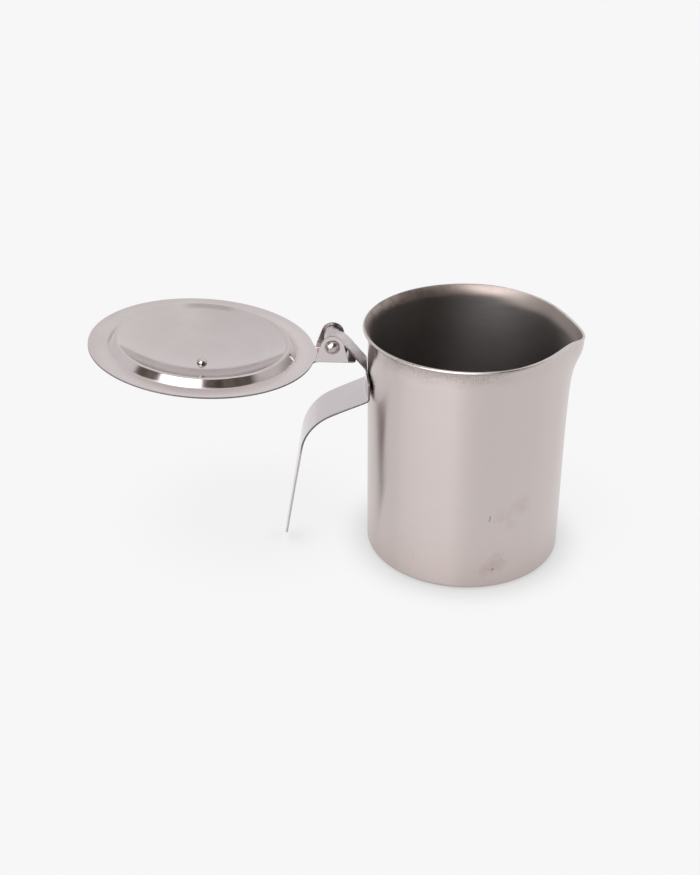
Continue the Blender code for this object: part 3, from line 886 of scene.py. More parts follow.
@dataclass
class JugBody:
    """Drawn vessel with a flared lip and a pinched spout."""

    outer_slot = 0
    inner_slot = 1
    edge_slot = 2
    sheet: float = 0.0008
    base_corner: float = 0.0023
    lip_overhang: float = 0.0019
    lip_depth: float = 0.0044
    spout_reach: float = 0.0050
    spout_dip: float = 0.0044
    spout_runout: float = 0.0120
    spout_fade: float = 0.0460
    fade_start: float = 0.7
    spout_half_angle: float = math.radians(17.0)
    spout_dip_angle: float = math.radians(18.0)
    lip_fade_from: float = math.radians(80.0)
    lip_fade_to: float = math.radians(32.0)
    edge_rounding: float = 0.00030
    bead: float = 0.00032
    bead_depth: float = 0.00130
    columns: int = 288
    crowding: float = 0.35
    lip_steps: int = 12
    wall_rows: int = 44
    corner_steps: int = 10

    @property
    def lip_lean(self) -> float:
        """Angle of the lip's edge from upright."""
        return 2.0 * math.atan2(self.lip_overhang, self.lip_depth)

    @property
    def edge_rise(self) -> float:
        """How far the inner edge of the leaning lip stands above the outer one."""
        return self.sheet * math.sin(self.lip_lean)

    @property
    def edge_z(self) -> float:
        """Height of the lip's outer edge."""
        return DATUM.height - self.edge_rise

    def section(self) -> list[Point]:
        """Outer section of the wall, from the lip down to the centre of the base."""
        flare = self.lip_depth / math.sin(self.lip_lean)
        neck = self.edge_z - self.lip_depth
        points = arc((DATUM.wall_radius + flare, neck), flare, math.pi - self.lip_lean, math.pi,
                     self.lip_steps)
        step = (self.spout_fade - self.lip_depth) / self.wall_rows
        points += [(DATUM.wall_radius, neck - step * i) for i in range(1, self.wall_rows + 1)]
        corner = (DATUM.wall_radius - self.base_corner, self.base_corner)
        points += arc(corner, self.base_corner, 0.0, -QUARTER, self.corner_steps)
        return points + [(DATUM.wall_radius * 0.5, 0.0), (0.0, 0.0)]

    def skin(self) -> Mesh:
        """Turned skin with its columns drawn closer together at the spout."""
        mesh = turned_mesh("jug_skin", self.section(), self.columns)
        for vert in mesh.vertices:
            turn = -self.crowding * math.sin(math.atan2(vert.co.y, vert.co.x))
            vert.co = Matrix.Rotation(turn, 3, "Z") @ vert.co
        aim_faces(mesh, lambda centre: Vector((centre.x, centre.y, 0.0)))
        return mesh

    def spout_tree(self) -> Tree:
        """Rule that pulls the spout out of the lip and lets the flare die away beside it.

        Returns:
            The Geometry Nodes tree.
        """
        desk, given = new_shape_tree("spout_rule", [
            "Wall radius", "Edge height", "Edge rise", "Lip depth", "Reach", "Dip", "Runout",
            "Fade depth", "Half angle", "Dip angle", "Flare from", "Flare to"])
        size = given.outputs
        x, y, z = desk.split(desk.add("GeometryNodeInputPosition", {}).outputs[0])
        angle = desk.math("ARCTAN2", y, x)
        beyond = desk.minus(desk.length(x, y), size["Wall radius"])
        depth = desk.minus(size["Edge height"], z)
        run = desk.math("DIVIDE", desk.math("MAXIMUM", depth, 0.0), size["Runout"])
        runout = desk.math("DIVIDE", 1.0, desk.plus(1.0, desk.math("POWER", run, 3.0)))
        start = desk.times(size["Fade depth"], self.fade_start)
        fade = desk.between(depth, size["Fade depth"], start)
        strength = desk.times(runout, fade)
        pull = desk.times(self.bell(desk, angle, size["Half angle"], size["Reach"]), strength)
        dip = desk.times(self.bell(desk, angle, size["Dip angle"], size["Dip"]), strength)
        gone = desk.between(desk.math("ABSOLUTE", angle), size["Flare from"], size["Flare to"])
        lift = desk.times(size["Edge rise"], gone, desk.between(depth, size["Lip depth"], 0.0))
        flare = desk.times(desk.math("MAXIMUM", beyond, 0.0), desk.minus(1.0, gone))
        reach = desk.plus(size["Wall radius"], flare, pull, desk.math("MINIMUM", beyond, 0.0))
        place = desk.join(
            desk.times(reach, desk.math("COSINE", angle)),
            desk.times(reach, desk.math("SINE", angle)), desk.plus(desk.minus(z, dip), lift))
        moved = desk.add("GeometryNodeSetPosition", {
            "Geometry": size["Geometry"], "Position": place}).outputs[0]
        end_shape_tree(desk, moved, size["Finish"])
        return desk.tree

    @staticmethod
    def bell(desk: NodeDesk, angle: Term, width: Term, height: Term) -> Socket:
        """Bell curve over an angle, which falls to 1/e of its height at its width."""
        share = desk.math("DIVIDE", angle, width)
        return desk.times(height, desk.math("EXPONENT", desk.times(share, share, -1.0)))

    def swell_lip(self, mesh: Mesh) -> None:
        """Thicken the edge of the lip to a small bead on its outer side."""
        outward: dict[int, Vector] = {}
        edge: set[int] = set()
        for face in mesh.polygons:
            if face.material_index == self.edge_slot:
                edge.update(face.vertices)
            elif face.material_index == self.outer_slot:
                for index in face.vertices:
                    outward[index] = outward.get(index, Vector()) + face.normal
        rim = [index for index in edge if index in outward]
        tree = KDTree(len(rim))
        for index in rim:
            tree.insert(mesh.vertices[index].co, index)
        tree.balance()
        pushes = {}
        for index, normal in outward.items():
            away = tree.find(mesh.vertices[index].co)[2]
            pushes[index] = normal.normalized() * self.bead * smoothstep(self.bead_depth, 0.0, away)
        for index, push in pushes.items():
            mesh.vertices[index].co += push

    def build(self, finishes: Finishes) -> None:
        """Make the body and dress it."""
        outside = finishes["outside"]
        obj = add_object("jug_vessel", self.skin(), [outside])
        rule = obj.modifiers.new("Spout", "NODES")
        rule.node_group = self.spout_tree()
        set_inputs(rule, {
            "Finish": outside, "Wall radius": DATUM.wall_radius, "Edge height": self.edge_z,
            "Edge rise": self.edge_rise, "Lip depth": self.lip_depth, "Reach": self.spout_reach,
            "Dip": self.spout_dip, "Runout": self.spout_runout, "Fade depth": self.spout_fade,
            "Half angle": self.spout_half_angle, "Dip angle": self.spout_dip_angle,
            "Flare from": self.lip_fade_from, "Flare to": self.lip_fade_to})
        settle(obj)
        obj.data.materials.clear()
        for material in (outside, finishes["inside"], finishes["lip_edge"]):
            obj.data.materials.append(material)
        for face in obj.data.polygons:
            face.material_index = self.outer_slot
        thicken(obj, self.sheet, self.inner_slot, self.edge_slot)
        settle(obj)
        self.swell_lip(obj.data)
        soften_edges(obj, self.edge_rounding)
        settle(obj)
        shade(obj)
        mount(obj, Body.JUG, "jug_body")


@dataclass
class HandleStrap:
    """Strip that makes the hinge eye, the wall plate and the handle."""

    thickness: float = 0.0008
    eye_bore: float = 0.0026
    eye_start: float = math.radians(280.0)
    eye_drop: float = 0.0040
    neck_slope: float = math.radians(42.5)
    bracket_slope: float = math.radians(52.7)
    knee_behind_wall: float = 0.0073
    knee_radius: float = 0.0120
    bracket_half_width: float = 0.0059
    foot_radius: float = 0.0030
    shoulder_below_rim: float = 0.0174
    shoulder_height: float = 0.0032
    plate_half_width: float = 0.0114
    saddle_radius: float = 0.0600
    saddle_ramp: float = 0.0060
    root_below_rim: float = 0.0278
    root_radius: float = 0.0019
    run: float = 0.0242
    fall: float = math.radians(25.6)
    bend_radius: float = 0.0215
    splay: float = math.radians(9.64)
    taper_top_below_rim: float = 0.0263
    taper_foot: float = 0.0140
    tail_half_width: float = 0.0051
    tail_clearance: float = 0.0025
    edge_radius: float = 0.00022
    eye_steps: int = 56
    knee_steps: int = 10
    corner_steps: int = 14
    bend_steps: int = 40
    tail_steps: int = 24
    edge_steps: int = 4
    least_width: float = 1.2
    edge_share: float = 0.6
    corner_share: float = 0.8
    spacing: float = 0.0010
    least_step: float = 1.0e-7
    lanes: tuple[float, ...] = (-1.0, -0.985, -0.8, -0.55, -0.28, 0.0, 0.28, 0.55, 0.8, 0.985, 1.0)

    @property
    def eye_radius(self) -> float:
        """Radius of the middle of the sheet in the hinge eye."""
        return self.eye_bore + self.thickness / 2.0

    @property
    def knee_out(self) -> float:
        """Distance from the pin to the knee of the bracket, along X."""
        return DATUM.pin_behind_wall - self.knee_behind_wall

    @property
    def knee_rise(self) -> float:
        """Height of the knee above the pin."""
        drop = self.knee_out * math.sin(self.neck_slope)
        return (self.eye_radius - drop) / math.cos(self.neck_slope)

    def half_width(self, z: float) -> float:
        """Half the strip's width at a height."""
        shoulder = DATUM.height - self.shoulder_below_rim
        taper = DATUM.height - self.taper_top_below_rim
        if z >= taper:
            ease = smoothstep(shoulder, shoulder - self.shoulder_height, z)
            gain = self.plate_half_width - self.bracket_half_width
            return self.bracket_half_width + gain * ease
        ease = smoothstep(taper, self.taper_foot, z)
        width = self.plate_half_width + (self.tail_half_width - self.plate_half_width) * ease
        drop = self.tail_clearance + self.tail_half_width - z
        if drop > 0.0:
            width = min(width, math.sqrt(max(self.tail_half_width ** 2 - drop ** 2, 0.0)))
        return max(width, self.least_width * self.edge_radius)

    def middle_line(self) -> tuple[list[Point], float, float]:
        """Middle line of the strip in the XZ plane.

        Returns:
            The points from the eye to the tail, and the heights of the plate's two ends.
        """
        points = arc((DATUM.pin_x, DATUM.pin_z), self.eye_radius, self.eye_start,
                     QUARTER - self.neck_slope, self.eye_steps)
        leave = points[-1]
        knee = (DATUM.pin_x + self.knee_out, DATUM.pin_z + self.knee_rise)
        plate_x = -(DATUM.wall_radius + DATUM.seat_gap + self.thickness / 2.0)
        foot = (plate_x, knee[1] - (plate_x - knee[0]) * math.tan(self.bracket_slope))
        root = (plate_x, DATUM.height - self.root_below_rim)
        bend = (plate_x - self.run, root[1] - self.run * math.tan(self.fall))
        tail_x = bend[0] - (bend[1] - self.tail_clearance) * math.tan(self.splay)
        tail = (tail_x, self.tail_clearance)
        points += round_corner(leave, knee, foot, self.knee_radius, self.knee_steps)
        points += round_corner(knee, foot, root, self.foot_radius, self.corner_steps)
        points += round_corner(foot, root, bend, self.root_radius, self.corner_steps)
        points += round_corner(root, bend, tail, self.bend_radius, self.bend_steps)
        tip = self.tail_clearance + self.tail_half_width
        for i in range(self.tail_steps + 1):
            z = tip - self.tail_half_width * math.sin(QUARTER * i / self.tail_steps)
            points.append((tail[0] + (z - tail[1]) * math.tan(self.splay), z))
        return points, foot[1], root[1]

    def stations(self, points: Sequence[Point]) -> list[Point]:
        """Fill a path with further points, so that no step is longer than the spacing."""
        filled = [Vector(points[0])]
        for before, after in zip(points, points[1:]):
            length = math.dist(before, after)
            if length < self.least_step:
                continue
            parts = max(1, math.ceil(length / self.spacing))
            filled += [Vector(before).lerp(Vector(after), i / parts) for i in range(1, parts + 1)]
        return [tuple(point) for point in filled]

    def cross_section(self, half: float) -> list[Point]:
        """Closed rounded section of the strip as (across, through) at half its width."""
        corner = min(self.edge_radius, half * self.corner_share)
        flat = half - corner
        deep = self.thickness / 2.0 - corner
        top = [(flat * lane, self.thickness / 2.0) for lane in self.lanes[:-1]]
        right = arc((flat, deep), corner, QUARTER, 0.0, self.edge_steps)
        down = arc((flat, -deep), corner, 0.0, -QUARTER, self.edge_steps)
        bottom = [(-flat * lane, -self.thickness / 2.0) for lane in self.lanes[1:-1]]
        left = arc((-flat, -deep), corner, -QUARTER, -math.pi, self.edge_steps)
        up = arc((-flat, deep), corner, math.pi, QUARTER, self.edge_steps)[:-1]
        return top + right + down + bottom + left + up

    def section_slots(self) -> list[int]:
        """Slot of each facet round the section: 0 front, 1 sheared edge, 2 back."""
        section = self.cross_section(self.plate_half_width)
        border = self.plate_half_width - self.edge_share * self.edge_radius
        slots = []
        for a, b in zip(section, section[1:] + section[:1]):
            if min(abs(a[0]), abs(b[0])) > border:
                slots.append(1)
            else:
                slots.append(2 if a[1] + b[1] < 0.0 else 0)
        return slots

    def sweep(self) -> Mesh:
        """Strip along its middle line, bent round the wall at the plate.

        Returns:
            The mesh, with the back's darker finish, which is painted shade, only on the handle.
        """
        points, foot_z, root_z = self.middle_line()
        path = self.stations(points)
        bm = bmesh.new()
        rings = []
        for i, (x, z) in enumerate(path):
            ahead = Vector(path[min(i + 1, len(path) - 1)])
            along = (ahead - Vector(path[max(i - 1, 0)])).normalized()
            in_eye = z >= DATUM.pin_z - self.eye_drop
            half = self.bracket_half_width if in_eye else self.half_width(z)
            ring = []
            for across, depth in self.cross_section(half):
                px, pz = x + along.y * depth, z - along.x * depth
                hold = smoothstep(foot_z + self.saddle_ramp, foot_z, pz)
                hold *= smoothstep(root_z - self.saddle_ramp, root_z, pz)
                saddle = hold * across ** 2 / (2.0 * self.saddle_radius)
                ring.append(bm.verts.new((px + saddle, across, pz)))
            rings.append(ring)
        slots = self.section_slots()
        for first, second in zip(rings, rings[1:]):
            handle = first[0].co.z < root_z
            for face, slot in zip(bridge(bm, first, second), slots):
                face.material_index = slot if slot < 2 or handle else 0
        for ring in (rings[0], rings[-1]):
            bm.faces.new(ring).material_index = 1
        return finish_mesh(bm, "strap_and_handle")

    def build(self, finishes: Finishes) -> None:
        """Make the strap and dress it."""
        obj = add_object("strap_and_handle", self.sweep(), [
            finishes["strap"], finishes["strap_edge"], finishes["strap_back_painted_shade"]])
        shade(obj)
        mount(obj, Body.JUG, "handle_strap")


@dataclass
class Lid:
    """Pressed lid with its tongue and the two ears folded from it."""

    radius: float = 0.0444
    sheet: float = 0.0006
    flange_fall: float = math.radians(4.0)
    dish_rise: float = 0.0080
    dish_edge_radius: float = 0.0331
    dish_edge_drop: float = 0.0023
    crest_radius: float = 0.0011
    ridge_slope: float = math.radians(48.0)
    ridge_foot_radius: float = 0.0005
    ear_half_span: float = 0.0068
    ear_half_base: float = 0.0066
    ear_top_radius: float = 0.0045
    fold_radius: float = 0.0007
    neck_fillet: float = 0.0025
    tongue_corner: float = 0.0015
    vent_radius: float = 0.0012
    vent_ring: float = 0.0360
    vent_angle: float = math.radians(10.0)
    edge_rounding: float = 0.00016
    stop_gap: float = 0.0003
    strap: HandleStrap = field(default_factory=HandleStrap)
    disc_steps: int = 280
    bowl_steps: int = 44
    crest_steps: int = 16
    foot_steps: int = 9
    fillet_steps: int = 12
    tongue_corner_steps: int = 10
    tongue_end_rows: int = 6
    fold_steps: int = 8
    vent_columns: int = 40
    ear_steps: int = 40
    flange_rows: tuple[float, ...] = (0.06, 0.2, 0.4, 0.6, 0.8, 0.93, 0.97, 1.0)
    ear_lanes: tuple[float, ...] = (-1.0, -0.97, -0.85, -0.6, -0.3, 0.0, 0.3, 0.6, 0.85, 0.97, 1.0)
    ear_lap: float = 0.00002
    ear_root: float = 0.0006
    ear_tip_half: float = 0.00005

    def flange_z(self, radius: float) -> float:
        """Height of the sloping flange's underside at a radius, from the lid's edge."""
        return (self.radius - radius) * math.tan(self.flange_fall)

    @property
    def tongue_root_z(self) -> float:
        """Height of the tongue's underside above the pin."""
        return DATUM.lid_edge_z - (DATUM.lid_centre_x - self.radius) * math.tan(self.flange_fall)

    def tongue_z(self, x: float) -> float:
        """Height of the tongue's underside at a distance from the pin towards the lid's centre."""
        return self.tongue_root_z + x * math.tan(self.flange_fall)

    def tongue_length(self) -> float:
        """How far the tongue runs past the pin before it meets the bracket."""
        strap = self.strap
        middle = (strap.knee_out * math.sin(strap.bracket_slope)
                  + strap.knee_rise * math.cos(strap.bracket_slope))
        face = middle - strap.thickness / 2.0 - self.stop_gap
        lean = strap.bracket_slope - DATUM.open_tilt
        slant = math.sin(lean) + math.tan(self.flange_fall) * math.cos(lean)
        return (face + self.tongue_root_z * math.cos(lean)) / slant

    def press_section(self) -> list[Point]:
        """Underside of the dish, the ridge and the start of the flange, from the centre out."""
        bowl, spread = cap(self.dish_edge_radius, self.dish_rise + self.dish_edge_drop)
        points = arc((0.0, self.dish_rise - bowl), bowl, QUARTER, QUARTER - spread,
                     self.bowl_steps)
        points[0] = (0.0, self.dish_rise)
        crest = (self.dish_edge_radius + self.crest_radius * math.sin(spread),
                 self.crest_radius * math.cos(spread) - self.dish_edge_drop)
        points += arc(crest, self.crest_radius, -QUARTER - spread, self.ridge_slope - QUARTER,
                      self.crest_steps)[1:]
        leave = points[-1]
        slopes = math.tan(self.ridge_slope) + math.tan(self.flange_fall)
        run = (self.flange_z(leave[0]) - leave[1]) / slopes
        corner = (leave[0] + run, leave[1] + run * math.tan(self.ridge_slope))
        return points + round_corner(leave, corner, (self.radius, 0.0), self.ridge_foot_radius,
                                     self.foot_steps)

    def outline(self) -> list[Point]:
        """Plan of the lid about its centre: a disc with a filleted tongue towards -X."""
        half = self.ear_half_span - self.sheet * 2.0 / 3.0
        end = -(DATUM.lid_centre_x + self.tongue_length())
        fillet_y = half + self.neck_fillet
        fillet_x = -math.sqrt((self.radius + self.neck_fillet) ** 2 - fillet_y ** 2)
        meet = math.atan2(fillet_y, fillet_x)
        disc = arc((0.0, 0.0), self.radius, -meet, meet, self.disc_steps)
        steps = self.fillet_steps
        fillet = arc((fillet_x, fillet_y), self.neck_fillet, meet - math.pi, -QUARTER, steps)
        corner = arc((end + self.tongue_corner, half - self.tongue_corner), self.tongue_corner,
                     QUARTER, math.pi, self.tongue_corner_steps)
        run = corner[0][0] - fillet[-1][0]
        straight = [(fillet[-1][0] + run * i / steps, half) for i in range(1, steps)]
        rows = self.tongue_end_rows
        tip = [(end, corner[-1][1] * (1.0 - i / rows)) for i in range(1, rows + 1)]
        side = fillet[1:] + straight + corner + tip
        return disc + side + [(x, -y) for x, y in reversed(side[:-1])]

    def press(self) -> Mesh:
        """Underside of the dished lid about its centre, as far as its outline."""
        section = self.press_section()
        inner = section[-1][0]
        far = [math.hypot(x, y) for x, y in self.outline()]
        rays = [(x / r, y / r) for (x, y), r in zip(self.outline(), far)]
        bm = bmesh.new()
        rings = [[bm.verts.new((0.0, 0.0, section[0][1]))]]
        for radius, z in section[1:]:
            rings.append([bm.verts.new((x * radius, y * radius, z)) for x, y in rays])
        for share in self.flange_rows:
            radii = [inner + (end - inner) * share for end in far]
            rings.append([bm.verts.new((x * radius, y * radius, self.flange_z(radius)))
                          for (x, y), radius in zip(rays, radii)])
        for first, second in zip(rings, rings[1:]):
            bridge(bm, first, second)
        mesh = finish_mesh(bm, "lid_press")
        aim_faces(mesh, lambda centre: Vector((0.0, 0.0, -1.0)))
        return mesh

    def ear_span(self, z: float) -> Point:
        """Two ends along X of an ear's side view at a height above the pin."""
        ends = []
        for side in (-1.0, 1.0):
            base = Vector((side * self.ear_half_base, self.tongue_z(side * self.ear_half_base)))
            turn = side * math.acos(self.ear_top_radius / base.length)
            touch = math.atan2(base.y, base.x) - turn
            at = Vector((math.cos(touch), math.sin(touch))) * self.ear_top_radius
            if z > at.y:
                ends.append(at.x + (base.x - at.x) * (z - at.y) / (base.y - at.y))
            else:
                ends.append(side * math.sqrt(max(self.ear_top_radius ** 2 - z ** 2, 0.0)))
        return ends[0], ends[1]

    def spread_lanes(self, left: float, right: float) -> list[float]:
        """Places of an ear's columns between its two ends."""
        return [(left + right + (right - left) * lane) / 2.0 for lane in self.ear_lanes]

    def ear(self, side: float) -> Mesh:
        """One ear, bent down from the tongue with a round fold.

        Args:
            side: -1 for the near ear, 1 for the far one.

        Returns:
            The outer surface of the ear.
        """
        top = self.sheet + self.ear_lap
        fold_y = self.ear_half_span - self.fold_radius
        path = [(fold_y - self.ear_root, top)]
        path += arc((fold_y, top - self.fold_radius), self.fold_radius, QUARTER, 0.0,
                    self.fold_steps)
        bm = bmesh.new()
        rows = []
        for y, above in path:
            ends = self.ear_span(self.tongue_z(0.0) + above - self.sheet)
            rows.append([bm.verts.new((x, y * side, self.tongue_z(x) + above))
                         for x in self.spread_lanes(*ends)])
        start = self.tongue_z(0.0) + path[-1][1]
        drop = self.ear_top_radius + start
        for i in range(1, self.ear_steps + 1):
            z = start - drop * math.sin(QUARTER * i / self.ear_steps)
            ends = self.ear_span(z)
            if i == self.ear_steps:
                ends = (-self.ear_tip_half, self.ear_tip_half)
            lean = math.tan(self.flange_fall) * (1.0 - smoothstep(0.0, self.fold_steps, i))
            rows.append([bm.verts.new((x, self.ear_half_span * side, z + x * lean))
                         for x in self.spread_lanes(*ends)])
        for first, second in zip(rows, rows[1:]):
            for i in range(len(self.ear_lanes) - 1):
                bm.faces.new((first[i], second[i], second[i + 1], first[i + 1]))
        mesh = finish_mesh(bm, "ear")
        aim_faces(mesh, lambda centre: Vector((0.0, side, 0.0)))
        return mesh

    def vent_cutter(self) -> Object:
        """Upright cylinder that cuts the vent."""
        depth = self.dish_rise + self.dish_edge_drop
        radius = self.vent_radius
        section = [(0.0, -depth), (radius, -depth), (radius, depth), (0.0, depth)]
        cutter = add_object("vent_cutter", turned_mesh("vent_cutter", section, self.vent_columns))
        x = -self.vent_ring * math.cos(self.vent_angle)
        y = -self.vent_ring * math.sin(self.vent_angle)
        cutter.data.transform(Matrix.Translation((x, y, 0.0)))
        return cutter

    def build(self, finishes: Finishes) -> None:
        """Make the lid and dress it."""
        coats = [finishes["lid"], finishes["lid_edge"]]
        obj = add_object("lid_with_ears", self.press(), coats)
        thicken(obj, self.sheet, 0, 1)
        cutter = self.vent_cutter()
        cut = obj.modifiers.new("Vent", "BOOLEAN")
        cut.operation = "DIFFERENCE"
        cut.solver = "EXACT"
        cut.object = cutter
        settle(obj)
        bpy.data.objects.remove(cutter)
        soften_edges(obj, self.edge_rounding)
        settle(obj)
        obj.data.transform(Matrix.Translation((DATUM.lid_centre_x, 0.0, DATUM.lid_edge_z)))
        bm = bmesh.new()
        bm.from_mesh(obj.data)
        for side in (-1.0, 1.0):
            ear = add_object("ear", self.ear(side), coats)
            thicken(ear, self.sheet, 0, 1)
            soften_edges(ear, self.edge_rounding)
            settle(ear)
            bm.from_mesh(ear.data)
            bpy.data.objects.remove(ear)
        bm.to_mesh(obj.data)
        bm.free()
        obj.data.transform(DATUM.open_place())
        shade(obj)
        mount(obj, Body.LID, "lid")


@dataclass
class HingePin:
    """Rivet through the ears, with a domed head at each end."""

    radius: float = 0.0020
    head_radius: float = 0.0026
    head_height: float = 0.0016
    head_sink: float = 0.00008
    head_lip: float = 0.96
    head_core: float = 0.8
    head_steps: int = 14
    head_columns: int = 56
    shank_columns: int = 48
    lid: Lid = field(default_factory=Lid)

    def head(self) -> Mesh:
        """One domed head, its crown towards +Z."""
        dome, spread = cap(self.head_radius, self.head_height)
        crown = arc((0.0, self.head_height - dome), dome, QUARTER, QUARTER - spread,
                    self.head_steps)
        crown[0] = (0.0, self.head_height)
        radii = (self.head_radius * self.head_lip, self.radius * self.head_core, 0.0)
        under = [(radius, -self.head_sink) for radius in radii]
        return turned_mesh("pin_head", crown + under, self.head_columns)

    def pin_tree(self, head: Object) -> Tree:
        """Geometry Nodes tree that sets a head on each end of a shank."""
        desk, given = new_shape_tree("pin_rule", ["Seat", "Shank radius"])
        size = given.outputs
        span = desk.times(size["Seat"], 2.0)
        ends = desk.add("GeometryNodeMeshLine", {
            "Count": 2, "Start Location": desk.join(y=desk.times(size["Seat"], -1.0)),
            "Offset": desk.join(y=span)}).outputs[0]
        index = desk.add("GeometryNodeInputIndex", {}).outputs[0]
        turn = desk.join(desk.minus(QUARTER, desk.times(index, math.pi)))
        shape = desk.add("GeometryNodeObjectInfo", {"Object": head}, transform_space="ORIGINAL")
        heads = desk.add("GeometryNodeInstanceOnPoints", {
            "Points": ends, "Instance": shape.outputs["Geometry"], "Rotation": turn}).outputs[0]
        shank = desk.add("GeometryNodeMeshCylinder", {
            "Vertices": self.shank_columns, "Radius": size["Shank radius"],
            "Depth": span}).outputs[0]
        laid = desk.add("GeometryNodeTransform", {
            "Geometry": shank, "Rotation": (QUARTER, 0.0, 0.0)}).outputs[0]
        joined = desk.add("GeometryNodeJoinGeometry", {})
        for part in (heads, laid):
            desk.tree.links.new(part, joined.inputs[0])
        end_shape_tree(desk, joined.outputs[0], size["Finish"])
        return desk.tree

    def build(self, finishes: Finishes) -> None:
        """Make the pin and dress it."""
        finish = finishes["pin"]
        head = add_object("pin_head_pattern", self.head())
        obj = add_object("pin_and_heads", bpy.data.meshes.new("pin_and_heads"), [finish])
        rule = obj.modifiers.new("Heads", "NODES")
        rule.node_group = self.pin_tree(head)
        seat = self.lid.ear_half_span + DATUM.seat_gap
        set_inputs(rule, {"Finish": finish, "Seat": seat, "Shank radius": self.radius})
        settle(obj)
        bpy.data.objects.remove(head)
        obj.data.transform(DATUM.open_place())
        shade(obj)
        mount(obj, Body.LID, "hinge_pin")


@dataclass
class Knob:
    """Turned knob on the crown of the lid, and the rivet that holds it."""

    radius: float = 0.0070
    height: float = 0.0110
    head_depth: float = 0.0050
    neck_radius: float = 0.0032
    foot_radius: float = 0.0045
    foot_height: float = 0.0012
    bore_depth: float = 0.0062
    rivet_radius: float = 0.0012
    rivet_head_radius: float = 0.0020
    rivet_head_side: float = 0.0003
    rivet_head_height: float = 0.0015
    rivet_grip: float = 0.0050
    running_gap: float = 0.0003
    corner: float = 0.0001
    head_steps: int = 24
    flute_steps: int = 18
    rivet_steps: int = 12
    knob_columns: int = 96
    rivet_columns: int = 56
    lid: Lid = field(default_factory=Lid)

    def knob_section(self) -> list[Point]:
        """Section of the knob from its crown, round the foot and up the blind bore."""
        half = self.head_depth / 2.0
        flute = (self.height - self.head_depth - self.foot_height) / 2.0
        foot = self.foot_height
        points = [(0.0, self.height)]
        points += arc((self.radius - half, self.height - half), half, QUARTER, -QUARTER,
                      self.head_steps)
        points += arc((self.neck_radius + flute, foot + flute), flute, QUARTER, 3.0 * QUARTER,
                      self.flute_steps)[1:-1]
        bore = self.rivet_radius + self.running_gap
        return points + [
            (self.foot_radius - self.corner, foot), (self.foot_radius, foot - self.corner),
            (self.foot_radius, 0.0), (bore, 0.0), (bore, self.bore_depth), (0.0, self.bore_depth)]

    def rivet_section(self) -> list[Point]:
        """Section of the rivet from the end of its shank to the crown of its head."""
        shank = DATUM.seat_gap + self.lid.sheet + self.rivet_grip
        dome, spread = cap(self.rivet_head_radius, self.rivet_head_height - self.rivet_head_side)
        points = [(0.0, shank), (self.rivet_radius, shank), (self.rivet_radius, 0.0),
                  (self.rivet_head_radius - self.corner, 0.0),
                  (self.rivet_head_radius, -self.corner)]
        points += arc((0.0, dome - self.rivet_head_height), dome, spread - QUARTER, -QUARTER,
                      self.rivet_steps)
        points[-1] = (0.0, -self.rivet_head_height)
        return points

    def build(self, finishes: Finishes) -> None:
        """Make the knob and its rivet and dress them."""
        crown = DATUM.lid_edge_z + self.lid.dish_rise
        seat = crown + self.lid.sheet + DATUM.seat_gap
        rows = [
            ("lid_knob", self.knob_section(), self.knob_columns, "knob", seat, "knob",
             "knob_steel"),
            ("lid_rivet", self.rivet_section(), self.rivet_columns, "rivet",
             crown - DATUM.seat_gap, "knob_rivet", "rivet_steel"),
        ]
        for name, section, columns, finish, z, node, slot in rows:
            obj = add_object(name, turned_mesh(name, section, columns), [finishes[finish]])
            place = Matrix.Translation((DATUM.lid_centre_x, 0.0, z))
            obj.data.transform(DATUM.open_place() @ place)
            shade(obj)
            mount(obj, Body.LID, node)


def grey(tone: float) -> tuple[float, float, float, float]:
    """Opaque grey of one tone."""
    return tone, tone, tone, 1.0


